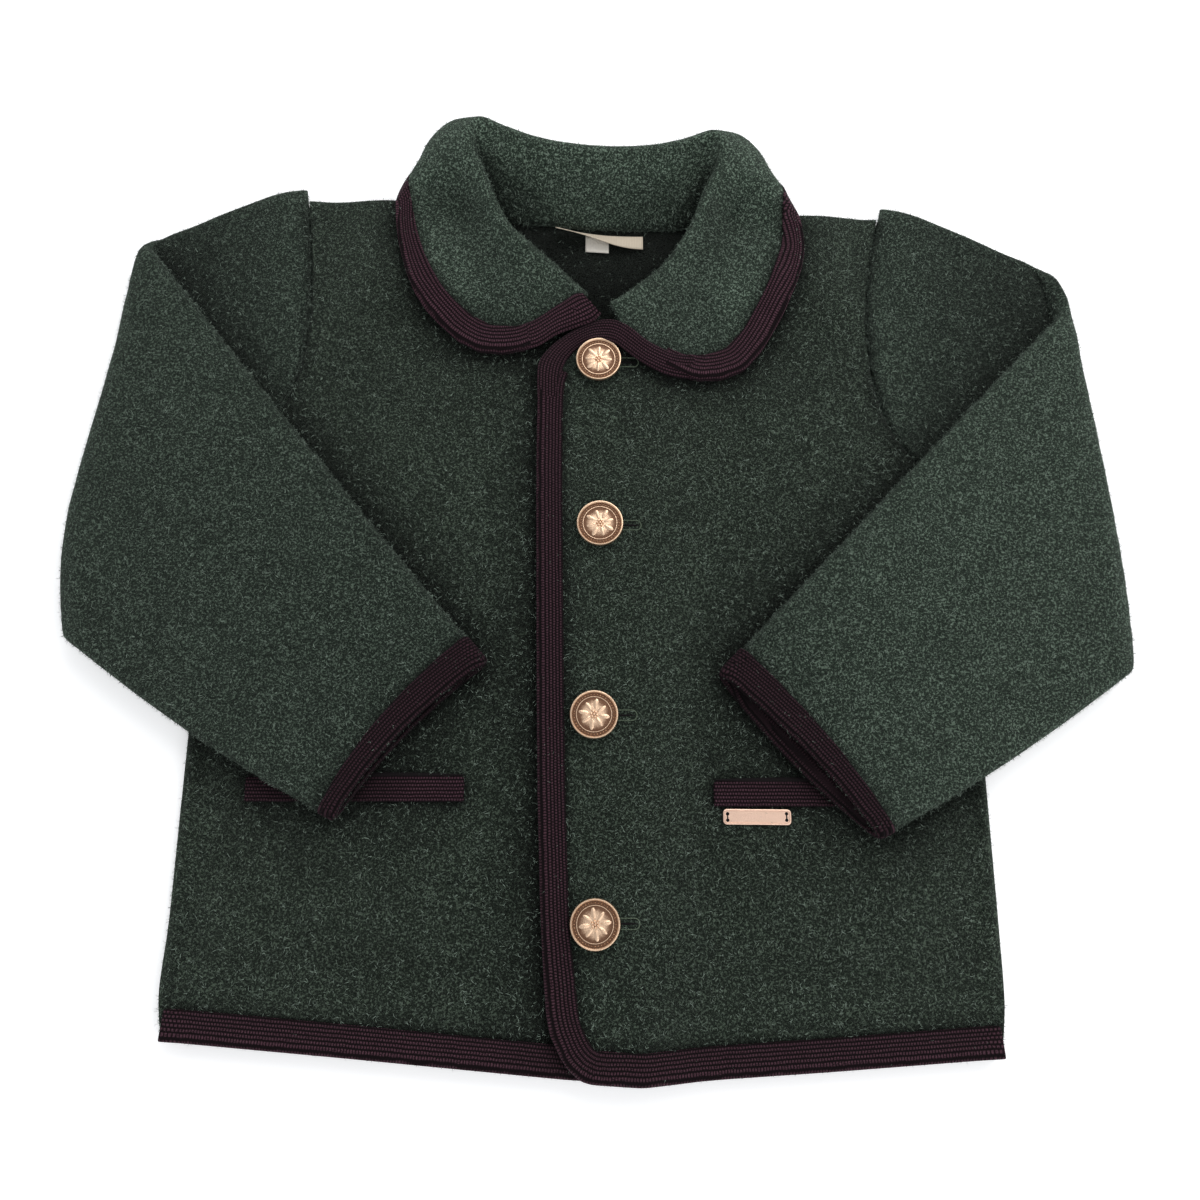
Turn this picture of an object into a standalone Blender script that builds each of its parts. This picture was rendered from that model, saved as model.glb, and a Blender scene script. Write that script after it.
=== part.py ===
"""Child's Tyrolean loden jacket, buttoned and laid flat with its sleeves folded over the fronts.

Every size below is in millimetres and is turned into metres where an object is made.
+X is the wearer's left, +Y runs from the hem to the collar, +Z is up from the surface it lies on.
"""
import bmesh
import bpy
from math import atan2, cos, hypot, pi, radians, sin, sqrt
from mathutils import Vector

MM = 0.001
UP = Vector((0.0, 0.0, 1.0))

# ---- driving sizes ---------------------------------------------------------------------------
CLOTH = 2.4            # boiled wool, one layer
SEAM = 0.3             # clearance between two pieces that are sewn together
BRAID = 0.9            # thickness of one lip of the folded braid
BRAID_WIDTH = 11.5     # how far the braid reaches in from the edge
LIP = SEAM + BRAID     # what one lip adds to the stack
AIR = 1.2              # room between the fronts and the back, for the braid's inner lip
SIDE_PUFF = 1.2        # the side seams stand a little prouder than the middle
RIM = 1.0              # height of a front's rolled rim over the back
HEM_BAND = (20.0, 46.0)      # distance from the hem over which the panels settle again
BUTTON_STAND = (17.0, 50.0)  # x over which the overlapping front drops to the level of its side
TOP_CORNER_Y = (62.0, 84.0)  # above this the braids of both fronts cross
MIDDLE_X = 4.0         # centre front, where the buttons lie
COLLAR_EASE = 0.15     # more clearance for the collar's braid, which turns in two directions
FALL_BELOW = CLOTH + 2.0 * (LIP + COLLAR_EASE) + SEAM   # height of the collar's fall under the back
FALL_BELOW_Y = (98.0, 139.0)
FALL_BELOW_X = (95.0, 126.0)
SIDE_CURL = {"hem": (13.0, 32.0), "underarm": (10.0, 40.0)}   # where the side roll fades out

HEM = (                # x, y of the finished hem, from side to side
    (-166.0, -185.6),
    (-90.0, -192.1),
    (-10.0, -199.3),
    (20.0, -201.2),
    (90.0, -196.8),
    (160.0, -191.8),
)
SIDE_RIGHT = ((-168.4, -190.0), (-164.4, 40.0))   # wearer's right side seam, as (x, y) ends
SIDE_LEFT = ((162.9, -195.0), (161.0, 40.0))
SIDE_ENDS = (-163.4, 156.6)       # x at which the hem's braids end, just short of the side seams
SHOULDER_RIGHT = ((-131.0, 178.6), (-57.0, 172.8))
SHOULDER_LEFT = ((132.0, 168.9), (60.0, 166.2))

# A row for each section of a front: outer x, outer y, inner x, inner y, hem to shoulder
FRONT_RIGHT = (
    (-164.2, -185.6, 2.0, -199.8),
    (-165.2, -183.0, 10.5, -197.0),
    (-166.3, -178.0, 15.6, -190.0),
    (-167.4, -168.0, 17.0, -178.0),
    (-167.5, -138.0, 17.0, -138.0),
    (-166.2, -95.0, 17.0, -95.0),
    (-165.6, -50.0, 17.0, -50.0),
    (-165.0, -5.0, 17.0, -5.0),
    (-162.0, 33.0, 17.0, 35.0),
    (-153.0, 48.5, 17.0, 60.0),
    (-144.5, 61.0, 16.0, 76.0),
    (-136.5, 74.0, 13.0, 90.0),
    (-130.0, 92.0, 7.0, 100.5),
    (-127.2, 112.0, -2.0, 109.0),
    (-126.8, 132.0, -13.0, 118.5),
    (-128.0, 152.0, -32.0, 136.0),
    (-129.8, 167.0, -49.0, 156.0),
    (-131.0, 178.6, -57.0, 172.8),
)
FRONT_LEFT = (
    (157.6, -191.9, 1.0, -200.0),
    (158.5, -188.5, -7.5, -195.0),
    (159.5, -183.0, -12.8, -186.0),
    (160.6, -173.0, -15.8, -176.0),
    (162.3, -138.0, -18.8, -138.0),
    (162.0, -95.0, -20.4, -95.0),
    (161.6, -50.0, -21.4, -50.0),
    (161.2, -5.0, -22.1, -5.0),
    (157.0, 26.5, -22.7, 35.0),
    (147.5, 41.0, -22.8, 60.0),
    (139.5, 52.5, -22.6, 76.0),
    (131.5, 65.0, -21.4, 87.5),
    (126.0, 83.0, -16.8, 97.5),
    (123.6, 103.0, -8.0, 105.0),
    (124.0, 124.0, 8.0, 110.5),
    (127.0, 146.0, 34.0, 130.0),
    (130.2, 160.0, 51.5, 149.0),
    (132.0, 168.9, 60.0, 166.2),
)
NECK_DIP = 8.5         # how far the back neck curves below the line between the shoulders
CURL_COLUMNS = (0.0, 0.5, 1.6, 3.4, 6.0, 10.0)   # columns near a rolled edge, by distance
PLAIN_COLUMNS = {"right": 9, "left": 4}           # even columns after them
STAND_COLUMNS = (0.60, 0.635, 0.67, 0.705, 0.74, 0.775, 0.82, 0.88, 0.94, 1.0)
LOW_ROWS = (3, 3.33, 3.67, 4, 5, 6, 7, 8, 8.5, 9, 9.5, 10, 10.5, 11, 11.5, 12, 12.5, 13)
FRONT_ROWS = (0, 0.5, 1, 1.5, 2, *LOW_ROWS, 13.25, 13.5, 13.75, 14, 14.5, 15, 16, 16.55, 16.75, 16.9,
              16.98, 17)
BACK_ROWS = (0, 2, *LOW_ROWS, 13.5, 14, 14.5, 15, 16, 17)
BACK_COLUMNS = (0.0, 0.035, 0.075, 0.115, 0.155, 0.25, 0.282, 0.305, 0.34, 0.41, 0.51, 0.61, 0.68,
                0.715, 0.738, 0.8, 0.875, 0.915, 0.955, 0.99, 1.0)   # as shares of a row's width

# ---- sleeves -----------------------------------------------------------------------------------
UPPER_ARM = 7.2        # two layers of cloth lying beside the body
FOREARM = 8.6          # the part folded over, at its middle
FOLD_GAP = 1.6         # room between the two inside the fold
ARMHOLE_CLEAR = 0.9    # clearance round the armhole, where both edges are curved
CAP_SWELL = 1.6        # the sleeve cap stands this much prouder than the rest of the upper arm
CAP_RISE = 2.2         # and bows this far above a straight line from the shoulder to the fold
CAP_TOP = 6.4          # how far the cap reaches above the end of the shoulder seam
FOLD_CORNERS = (-4.0, 4.0)   # how far the ends of the fold slant in, at its top and its underarm
FOREARM_REST = (8.0, 9.8)   # what the forearm lies on at its upper edge, and at the rest of it
SLEEVE_POINTS = 49     # places between a sleeve's top edge and its underarm
SLEEVES = {
    # fold: silhouette of the fold from top to bottom; cuff: its two corners;
    # drop: how far below the fold's top the forearm starts; sag: how far its upper edge bows in;
    # belly: how far its lower edge bows out; recess: of the cuff's two layers
    "right": {
        "fold": ((-203.5, 161.0), (-208.3, 145.0), (-211.5, 104.0), (-217.5, 68.0),
                 (-224.0, 26.0), (-224.2, -6.0), (-219.6, -35.0)),
        "cuff": ((-42.8, -39.2), (-102.0, -103.4)),
        "drop": 13.0,
        "sag": 2.0,
        "belly": 3.4,
        "recess": (5.0, 3.6),
    },
    "left": {
        "fold": ((209.0, 146.5), (214.8, 130.0), (217.4, 98.0), (221.0, 62.0),
                 (224.4, 22.0), (226.4, -18.0), (225.2, -48.4)),
        "cuff": ((53.2, -44.0), (114.6, -110.8)),
        "drop": 33.0,
        "sag": -0.6,
        "belly": 2.8,
        "recess": (3.4, -3.4),
    },
}

# ---- collar ------------------------------------------------------------------------------------
# Rows from the wearer's right front end, round the neck, to the left front end.
# On the fronts: seam x, y; roll x, y, z (the fold line); edge x, y (the outer edge of the cloth)
COLLAR_FRONT_RIGHT = (
    (-4.0, 118.0, -1.0, 122.5, 17.0, -5.5, 112.6),
    (-12.0, 121.0, -7.0, 126.5, 17.6, -13.0, 110.6),
    (-25.0, 131.4, -17.0, 136.0, 19.0, -30.0, 101.0),
    (-36.5, 141.0, -28.5, 145.5, 21.0, -51.4, 101.2),
    (-46.0, 151.6, -38.0, 154.0, 23.0, -68.0, 113.8),
    (-53.0, 161.4, -44.0, 164.0, 26.0, -78.6, 128.0),
    (-57.0, 167.0, -48.0, 174.0, 28.5, -85.6, 150.0),
)
COLLAR_FRONT_LEFT = (
    (61.0, 161.0, 52.0, 168.0, 27.0, 95.0, 146.0),
    (56.5, 153.4, 48.0, 157.0, 24.5, 90.6, 129.6),
    (49.0, 143.6, 42.0, 146.5, 22.0, 80.8, 110.0),
    (39.0, 132.6, 33.0, 135.0, 19.5, 67.0, 91.4),
    (27.5, 122.6, 23.0, 126.0, 18.0, 46.0, 86.8),
    (17.0, 114.4, 13.5, 118.8, 17.2, 25.2, 95.4),
    (11.0, 110.6, 7.6, 117.0, 16.8, 14.0, 102.6),
)
# Round the back the fall turns under. Each row: seam x, y; roll x, y, z; bend x, y, z;
# foot x, y, z; edge x, y, z. Nothing of the face is lower than its braid allows.
COLLAR_BACK = (
    (-55.5, 170.0, -52.6, 183.0, 31.0, -69.0, 182.0, 26.5, -81.2, 178.0, 21.2, -87.6, 171.6, 17.0),
    (-50.0, 169.5, -54.8, 193.6, 33.4, -72.0, 196.0, 25.0, -81.2, 188.6, 13.5, -83.8, 182.6, 6.8),
    (-43.5, 166.3, -49.2, 200.2, 33.6, -68.0, 207.5, 21.0, -73.0, 199.0, 6.8, -68.0, 182.0, LIP),
    (-33.0, 163.4, -40.0, 196.8, 31.4, -45.0, 203.2, 16.0, -45.5, 197.0, 3.0, -42.0, 156.0, LIP),
    (-17.0, 161.8, -21.0, 192.4, 27.6, -23.0, 199.6, 13.0, -23.0, 192.0, 2.4, -20.0, 146.0, LIP),
    (3.5, 160.0, 4.0, 190.3, 25.6, 4.0, 197.8, 12.0, 4.0, 190.0, 2.2, 4.0, 142.0, LIP),
    (24.0, 159.6, 27.0, 190.2, 26.4, 29.0, 197.8, 12.6, 29.0, 190.0, 2.2, 26.0, 143.0, LIP),
    (39.0, 160.0, 44.0, 191.8, 29.6, 50.0, 199.6, 15.5, 51.0, 192.0, 3.0, 48.0, 151.0, LIP),
    (45.0, 161.0, 54.2, 195.0, 31.6, 73.0, 200.4, 20.0, 76.0, 190.0, 6.4, 72.0, 176.0, LIP),
    (50.6, 162.6, 59.6, 187.6, 32.2, 76.8, 187.6, 24.0, 84.8, 181.6, 13.5, 87.4, 175.4, 6.8),
    (57.6, 164.6, 57.2, 177.6, 30.0, 75.4, 175.5, 26.0, 87.0, 171.0, 21.0, 92.6, 165.2, 17.0),
)
ROLL_RADIUS = {"front": 3.2, "back": 3.8}    # of the show face at the fold line
STAND_ACROSS = (0, 1, 2, 3, 4, 5)         # from the seam into the fold
NECK_TURN = 4.2           # from the seam out past the back's neck edge, where the fall turns under
COLLAR_CORNERS = {        # inside of the collar where it passes the neck end of a shoulder, by row
    8: ((-62.0, 178.5, 15.0), (-55.5, 173.8, 12.3)),
    16: ((65.0, 173.5, 15.0), (58.0, 168.6, 12.3)),
}
END_TRIM = 0.4            # the ends of the collar are cut this share of a row short
TURN_ROWS = (8.2, 15.8)   # where the fall passes the shoulder and turns under
FALL_HEIGHT = CLOTH + LIP + 4.0 * SEAM    # of the fall's face above what it lies on
FALL_SLOPE = 0.35         # how fast the fall comes down once it is past the seam
FRONT_LEVEL = 9.0         # the fall is over the fronts above this height, and beneath the back below
SHOULDER_SEAM = 53.0      # further from the middle than this, the collar is sewn to the fronts

# ---- small parts -------------------------------------------------------------------------------
SHANK_RADIUS = 2.2     # under a button of 20 mm, 32 ligne
BUTTONS = ((3.4, 93.8), (4.0, 19.4), (1.6, -61.5), (2.1, -143.1))
WELT_SIZE = (89.0, 10.0, 1.5)
WELTS = {"right": (-95.6, -91.2), "left": (94.6, -93.2)}
PLATE_SIZE = (27.5, 6.2, 0.9)
PLATE_AT = (67.4, -102.2)
NECK_LABEL = {"x": (-16.0, 23.5), "y": (159.6, 156.0), "depth": 6.5, "thick": 0.7}
SIZE_LABEL = {"x": (-2.5, 8.0), "y": (150.6, 149.6), "depth": 9.0, "thick": 0.5}

COLOURS = {
    "loden": ((0.030, 0.043, 0.033), 0.95, 0.0),
    "braid": ((0.019, 0.011, 0.014), 0.85, 0.0),
    "button_metal": ((0.58, 0.42, 0.31), 0.38, 1.0),
    "plate_metal": ((0.62, 0.42, 0.33), 0.35, 1.0),
    "label_woven": ((0.56, 0.48, 0.37), 0.8, 0.0),
    "label_white": ((0.75, 0.73, 0.70), 0.8, 0.0),
}


# ---- small helpers -----------------------------------------------------------------------------
def ease(low, high, value):
    """0 below low, 1 above high, and a smooth step between."""
    share = min(max((value - low) / (high - low), 0.0), 1.0)
    return share * share * (3.0 - 2.0 * share)


def mix(a, b, share):
    return a + (b - a) * share


def spline(rows, at):
    """The row at a fractional index, on a smooth curve through all the rows."""
    at = min(max(at, 0.0), len(rows) - 1.0)
    low = min(int(at), len(rows) - 2)
    t = at - low
    before, here = rows[max(low - 1, 0)], rows[low]
    after, beyond = rows[low + 1], rows[min(low + 2, len(rows) - 1)]
    return tuple(
        0.5 * (2 * b + (c - a) * t + (2 * a - 5 * b + 4 * c - d) * t * t
               + (3 * b - a - 3 * c + d) * t ** 3)
        for a, b, c, d in zip(before, here, after, beyond))


def curve(points, at):
    """The point at a fractional index on a smooth curve that stays even over uneven gaps."""
    low = min(max(int(at), 0), len(points) - 2)
    t = at - low
    here, after = points[low], points[low + 1]
    before = points[low - 1] if low > 0 else here * 2.0 - after
    beyond = points[low + 2] if low + 2 < len(points) else after * 2.0 - here
    gaps = [(q - p).length for p, q in ((before, here), (here, after), (after, beyond))]
    leave = ((here - before) / gaps[0] - (after - before) / (gaps[0] + gaps[1])) * gaps[1] \
        + after - here
    arrive = ((beyond - after) / gaps[2] - (beyond - here) / (gaps[1] + gaps[2])) * gaps[1] \
        + after - here
    return (here * (2 * t ** 3 - 3 * t ** 2 + 1) + leave * (t ** 3 - 2 * t ** 2 + t)
            + after * (3 * t ** 2 - 2 * t ** 3) + arrive * (t ** 3 - t ** 2))


def line_at(ends, key, value):
    """The other coordinate of a straight line at x (key 0) or y (key 1)."""
    start, end = ends
    share = (value - start[key]) / (end[key] - start[key])
    return mix(start[1 - key], end[1 - key], share)


def along(points, share):
    """A point at a share of a polyline's length; past its ends it carries straight on."""
    lengths = [(b - a).length for a, b in zip(points, points[1:])]
    target = sum(lengths) * share
    for index, length in enumerate(lengths):
        if target <= length or index == len(lengths) - 1:
            return points[index].lerp(points[index + 1], target / length)
        target -= length


def finish(name, bm, slot, smooth=True):
    """Make an object of a bmesh in millimetres. Its quads are split here, as they are not flat."""
    bmesh.ops.triangulate(bm, faces=bm.faces)
    bmesh.ops.scale(bm, vec=(MM, MM, MM), verts=bm.verts)
    mesh = bpy.data.meshes.new(name)
    bm.to_mesh(mesh)
    bm.free()
    obj = bpy.data.objects.new(name, mesh)
    JACKET.objects.link(obj)
    mesh.materials.append(MATERIALS[slot])
    if smooth:
        mesh.shade_smooth()
        mesh.set_sharp_from_angle(angle=radians(50))
    return obj


def grid_sheet(name, rows, slot, thickness, outward=True):
    """A panel: a grid laid through rows of points, given its thickness below them."""
    bm = bmesh.new()
    bmesh.ops.create_grid(bm, x_segments=len(rows[0]) - 1, y_segments=len(rows) - 1, size=1.0)
    bm.verts.ensure_lookup_table()
    order = sorted(bm.verts, key=lambda v: (round(v.co.y, 5), round(v.co.x, 5)))
    for vert, point in zip(order, [point for row in rows for point in row]):
        vert.co = point
    bmesh.ops.recalc_face_normals(bm, faces=bm.faces)
    up = sum(face.normal.z * face.calc_area() for face in bm.faces)
    if (up > 0) != outward:
        bmesh.ops.reverse_faces(bm, faces=bm.faces)
    obj = finish(name, bm, slot)
    wall = obj.modifiers.new("wall", "SOLIDIFY")
    wall.thickness = thickness * MM
    wall.offset = -1.0
    obj.modifiers.new("triangles", "TRIANGULATE")
    return obj


def ring_loft(name, rings, slot, caps="pairs"):
    """A solid through rings of points. Its ends are closed between the facing points k and -k of a
    ring that runs out and back, or as a whole; or the last ring joins the first."""
    bm = bmesh.new()
    loops = [[bm.verts.new(point) for point in ring] for ring in rings]
    count = len(rings[0])
    pairs = list(zip(loops, loops[1:]))
    if caps == "joined":
        pairs.append((loops[-1], loops[0]))
    for here, there in pairs:
        for k in range(count):
            n = (k + 1) % count
            bm.faces.new((here[k], here[n], there[n], there[k]))
    if caps == "pairs":
        for loop in (loops[0], loops[-1]):
            for k in range(count // 2):
                quad = (loop[k], loop[k + 1], loop[count - k - 1], loop[(count - k) % count])
                corners = list(dict.fromkeys(quad))
                if len(corners) > 2:
                    bm.faces.new(corners)
    elif caps == "whole":
        bm.faces.new(loops[0])
        bm.faces.new(loops[-1])
    bmesh.ops.recalc_face_normals(bm, faces=bm.faces)
    return finish(name, bm, slot)


# ---- heights of the layers, as functions of the place on the jacket ----------------------------
def hem_distance(x, y):
    """How far a place is above the finished hem."""
    for (x0, y0), (x1, y1) in zip(HEM, HEM[1:]):
        if x <= x1 or x1 == HEM[-1][0]:
            return y - mix(y0, y1, (x - x0) / (x1 - x0))


def hem_band(x, y):
    """1 along the hem, where the braid's lips lie between the panels, and 0 above it."""
    return 1.0 - ease(*HEM_BAND, hem_distance(x, y))


def back_low(x, y):
    """Underside of the back: on the floor, over its braid at the hem, over the fall at the top."""
    below_fall = ease(*FALL_BELOW_Y, y) * (1.0 - ease(*FALL_BELOW_X, abs(x - MIDDLE_X)))
    return max(LIP * hem_band(x, y), FALL_BELOW * below_fall)


def back_top(x, y):
    """Upper face of the back."""
    return back_low(x, y) + CLOTH


def edge_distance(x, y):
    """Distance in from the side seam or, above the armhole, from the shoulder seam."""
    if y > 100.0:
        return line_at(SHOULDER_RIGHT if x < 0 else SHOULDER_LEFT, 0, x) - y
    return x - line_at(SIDE_RIGHT, 1, y) if x < 0 else line_at(SIDE_LEFT, 1, y) - x


def edge_roll(x, y):
    """How far a front rolls down to the back at its edge: not at the hem nor at the armhole."""
    if y > 100.0:
        return 1.0
    return ease(*SIDE_CURL["hem"], hem_distance(x, y)) * (1.0 - ease(*SIDE_CURL["underarm"], y))


def front_top(x, y):
    """Top face of a front where it lies straight on the back."""
    flat = back_top(x, y) + SEAM + AIR + LIP * hem_band(x, y) + CLOTH
    distance = edge_distance(x, y)
    puff = SIDE_PUFF if y < 100.0 else 0.0
    proud = flat + puff * (1.0 - ease(2.0, 10.0, distance)) * edge_roll(x, y)
    radius = proud - (back_top(x, y) + RIM)
    inner = radius - min(max(distance, 0.0), radius)
    return proud - (radius - sqrt(radius * radius - inner * inner)) * edge_roll(x, y)


def lap_height(x, y):
    """How far the wearer's left front stands above the right one, with room for both braids
    where these cross, at the hem and at the top corner."""
    lap = CLOTH + SEAM + LIP * (1.0 + max(hem_band(x, y), ease(*TOP_CORNER_Y, y)))
    return lap * (1.0 - ease(*BUTTON_STAND, x))


def over_top(x, y):
    """Top face of the wearer's left front, which laps over the right one."""
    return front_top(x, y) + lap_height(x, y)


# ---- body panels -------------------------------------------------------------------------------
def columns(side, width):
    """Distances across a row: close together at the rolled edge and at the button stand."""
    last = CURL_COLUMNS[-1]
    tail = [share * width for share in STAND_COLUMNS] if side == "left" else []
    stop = tail[0] if tail else width
    steps = PLAIN_COLUMNS[side]
    plain = [mix(last, stop, (k + 1) / steps) for k in range(steps)]
    return list(CURL_COLUMNS) + plain + tail[1:]


def front_rows(side, table, height):
    rows = []
    for at in FRONT_ROWS:
        ox, oy, ix, iy = spline(table, at)
        width = hypot(ix - ox, iy - oy)
        row = []
        for distance in columns(side, width):
            x, y = mix(ox, ix, distance / width), mix(oy, iy, distance / width)
            y -= hem_distance(x, y) * max(0.0, 1.0 - at)
            row.append(Vector((x, y, height(x, y))))
        rows.append(row)
    return rows


def back_edge(x):
    """The back's upper edge: along the shoulders, and dipping round the neck between them."""
    if x < SHOULDER_RIGHT[1][0]:
        return line_at(SHOULDER_RIGHT, 0, x)
    if x > SHOULDER_LEFT[1][0]:
        return line_at(SHOULDER_LEFT, 0, x)
    neck = (SHOULDER_RIGHT[1], SHOULDER_LEFT[1])
    share = (x - neck[0][0]) / (neck[1][0] - neck[0][0])
    return line_at(neck, 0, x) - NECK_DIP * sqrt(max(sin(pi * share), 0.0))


def back_rows():
    rows = []
    level = (SHOULDER_RIGHT[0], SHOULDER_LEFT[0])
    for at in BACK_ROWS:
        lx, ly, _, _ = spline(FRONT_RIGHT, at)
        rx, ry, _, _ = spline(FRONT_LEFT, at)
        row = []
        for share in BACK_COLUMNS:
            x, y = mix(lx, rx, share), mix(ly, ry, share)
            y -= hem_distance(x, y) * max(0.0, 1.0 - at)
            y += (back_edge(x) - line_at(level, 0, x)) * ease(13.0, 17.0, at)
            row.append(Vector((x, y, back_low(x, y))))
        rows.append(row)
    return rows


# ---- braid -------------------------------------------------------------------------------------
# The braid's section, as reach in from the edge and side: out over the face of the panel,
# round the edge and back under it. Outer side of the braid first, then the side on the cloth.
BRAID_FACE = ((BRAID_WIDTH, 1), (-BRAID / 2.0, 1), (-LIP, 0), (-BRAID / 2.0, -1), (BRAID_WIDTH, -1))
BRAID_HOLD = ((BRAID_WIDTH, 1), (-SEAM, 1), (-SEAM, 0), (-SEAM, -1), (BRAID_WIDTH, -1))


def binding_section(edge, inward, height):
    """One section of the folded braid round a flat panel's edge, as a ring of ten points."""
    ring = []
    sides = [(*p, LIP) for p in BRAID_FACE] + [(*p, SEAM) for p in BRAID_HOLD[::-1]]
    for reach, level, thick in sides:
        x, y = edge.x + inward.x * reach, edge.y + inward.y * reach
        top = height(edge.x + inward.x * max(reach, 0.0), edge.y + inward.y * max(reach, 0.0))
        z = {1: top + thick, 0: top - CLOTH / 2.0, -1: top - CLOTH - thick}[level]
        ring.append(Vector((x, y, z)))
    return ring


def binding(name, path, height, inside):
    """Folded braid along a path of (x, y) points; inside tells which side the cloth lies on."""
    rings = []
    for k, point in enumerate(path):
        ahead = path[min(k + 1, len(path) - 1)] - path[max(k - 1, 0)]
        inward = Vector((-ahead.y, ahead.x)).normalized() * inside
        rings.append(binding_section(point, inward, height))
    return ring_loft(name, rings, "braid")


def hem_path(start_x, end_x, steps):
    """Points along the hem, with the hem's own corners among them."""
    low, high = sorted((start_x, end_x))
    places = [mix(start_x, end_x, k / steps) for k in range(steps + 1)]
    places += [x for x, _ in HEM if low < x < high]
    return [Vector((x, -hem_distance(x, 0.0))) for x in sorted(places, reverse=start_x > end_x)]


def front_path(table, first, side_x):
    """From the neck down the front edge, round the corner and along the hem to the side."""
    points = []
    for at in sorted({first, 2.5, *FRONT_ROWS}, reverse=True):
        if at > first:
            continue
        x, y = spline(table, at)[2:4]
        points.append(Vector((x, y - hem_distance(x, y) * max(0.0, 1.0 - at))))
    start = table[0][2]
    return points + hem_path(mix(start, side_x, 0.02), side_x, 16)


# ---- sleeves -----------------------------------------------------------------------------------
FOLD_RADIUS = (UPPER_ARM + FOREARM) / 4.0 + FOLD_GAP / 2.0   # from the fold's axis to mid-cloth
FOLDED_HEIGHT = UPPER_ARM / 2.0 + 2.0 * FOLD_RADIUS          # middle of the part folded over
SIDE_SIGN = {"right": -1.0, "left": 1.0}
EDGE_STEPS = (0.0, 0.7, 2.0, 4.2)      # distances in from the rounded long edges of a sleeve
ACROSS = (0.07, 0.17, 0.28, 0.39, 0.5, 0.6, 0.68, 0.76, 0.83, 0.89, 0.94)


def armhole(table, clear):
    """Points down the armhole, from above the shoulder to the side seam, clear of the body."""
    side = 1.0 if table[0][0] > 0 else -1.0
    points = [Vector(spline(table, 17.0 - k * 0.25)[0:2]) for k in range(37)]
    moved = []
    for k, point in enumerate(points):
        ahead = points[min(k + 1, len(points) - 1)] - points[max(k - 1, 0)]
        out = Vector((-ahead.y, ahead.x)).normalized()
        out = out if out.x * side > 0 else -out
        moved.append(point + out * clear)
    top = moved[0] + (moved[0] - moved[1]).normalized() * CAP_TOP
    return [top] + moved


def flat_ring(line, middle, half, up, inset=0.0, lower=None):
    """A flattened ring along a line: out over its upper face, back under its lower face."""
    length = sum((b - a).length for a, b in zip(line, line[1:]))
    shares = [d / length for d in EDGE_STEPS] + list(ACROSS)
    shares += [1.0 - d / length for d in reversed(EDGE_STEPS)]
    upper, under = [], []
    for share in shares:
        reach = min(share, 1.0 - share) * length
        round_off = sqrt(max(0.0, 1.0 - (1.0 - min(reach / EDGE_STEPS[-1], 1.0)) ** 2))
        squeeze = (0.5 - share) * 2.0 * inset / length
        place = along(line, share + squeeze)
        lower_place = along(lower or line, share + squeeze)
        centre = middle(share)
        thick = (half(share) - inset) * round_off
        upper.append(Vector((place.x, place.y, centre)) + up * thick)
        under.append(Vector((lower_place.x, lower_place.y, centre)) - up * thick)
    return upper + under[-2:0:-1]


def resample(points):
    return [along(points, k / (SLEEVE_POINTS - 1)) for k in range(SLEEVE_POINTS)]


def bowed(line, top, low):
    """A line across a sleeve with its top end and its underarm end moved along Y."""
    moved = []
    for k, point in enumerate(line):
        w = k / (SLEEVE_POINTS - 1)
        moved.append(point + Vector((0.0, top * (1.0 - w) ** 5 + low * w ** 5)))
    return moved


def inner_fold(side, lowered=0.0):
    """The line about which a sleeve is folded, from its top edge, or lower, to its underarm."""
    out_radius = FOLD_RADIUS + FOREARM / 2.0
    fold = [Vector(spline(SLEEVES[side]["fold"], k / 2.0)) for k in range(13)]
    length = sum((b - a).length for a, b in zip(fold, fold[1:]))
    fold = [along(fold, mix(lowered / length, 1.0, k / (SLEEVE_POINTS - 1)))
            for k in range(SLEEVE_POINTS)]
    return [point - Vector((SIDE_SIGN[side] * out_radius, 0.0)) for point in fold]


def sleeve(side, table):
    """Armhole to fold, round the fold, and the forearm to the cuff and a little way inside it."""
    sign = SIDE_SIGN[side]
    hole, axis = resample(armhole(table, ARMHOLE_CLEAR)), inner_fold(side)
    rings = []
    # upper arm, from the armhole seam out to the fold
    for share in (0.0, 0.12, 0.24, 0.4, 0.6, 0.82, 1.0):
        line = [a.lerp(b, share) for a, b in zip(hole, axis)]
        line = bowed(line, CAP_RISE * sin(pi * min(share / 0.8, 1.0)), 0.0)
        swell = CAP_SWELL * sin(pi * min(share / 0.4, 1.0))

        def half(w, swell=swell):
            return (UPPER_ARM + swell * (1.0 - ease(0.12, 0.36, w))) / 2.0

        rings.append(flat_ring(line, half, half, UP))
    # round the fold
    for turn in (30.0, 60.0, 90.0, 120.0, 150.0):
        angle = radians(turn)
        half = mix(UPPER_ARM, FOREARM, turn / 180.0) / 2.0
        lowered = SLEEVES[side]["drop"] * ease(75.0, 180.0, turn)
        line = [p + Vector((sign * FOLD_RADIUS * sin(angle), 0.0)) for p in inner_fold(side, lowered)]
        line = bowed(line, *(slant * sin(angle) for slant in FOLD_CORNERS))
        normal = Vector((-sign * sin(angle), 0.0, cos(angle)))
        height = FOLDED_HEIGHT - FOLD_RADIUS * (1.0 + cos(angle))
        rings.append(flat_ring(line, lambda w, z=height: z, lambda w, h=half: h, normal))
    # forearm, from the fold to the cuff; its faces have changed places
    for share in (0.0, 0.1, 0.25, 0.45, 0.65, 0.8, 0.93, 1.0):
        rings.append(forearm_ring(side, share, 0.0))
    for share in (1.0, 0.9, 0.75):
        rings.append(forearm_ring(side, share, CLOTH))
    return ring_loft("sleeve_" + side, rings, "loden")


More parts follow.
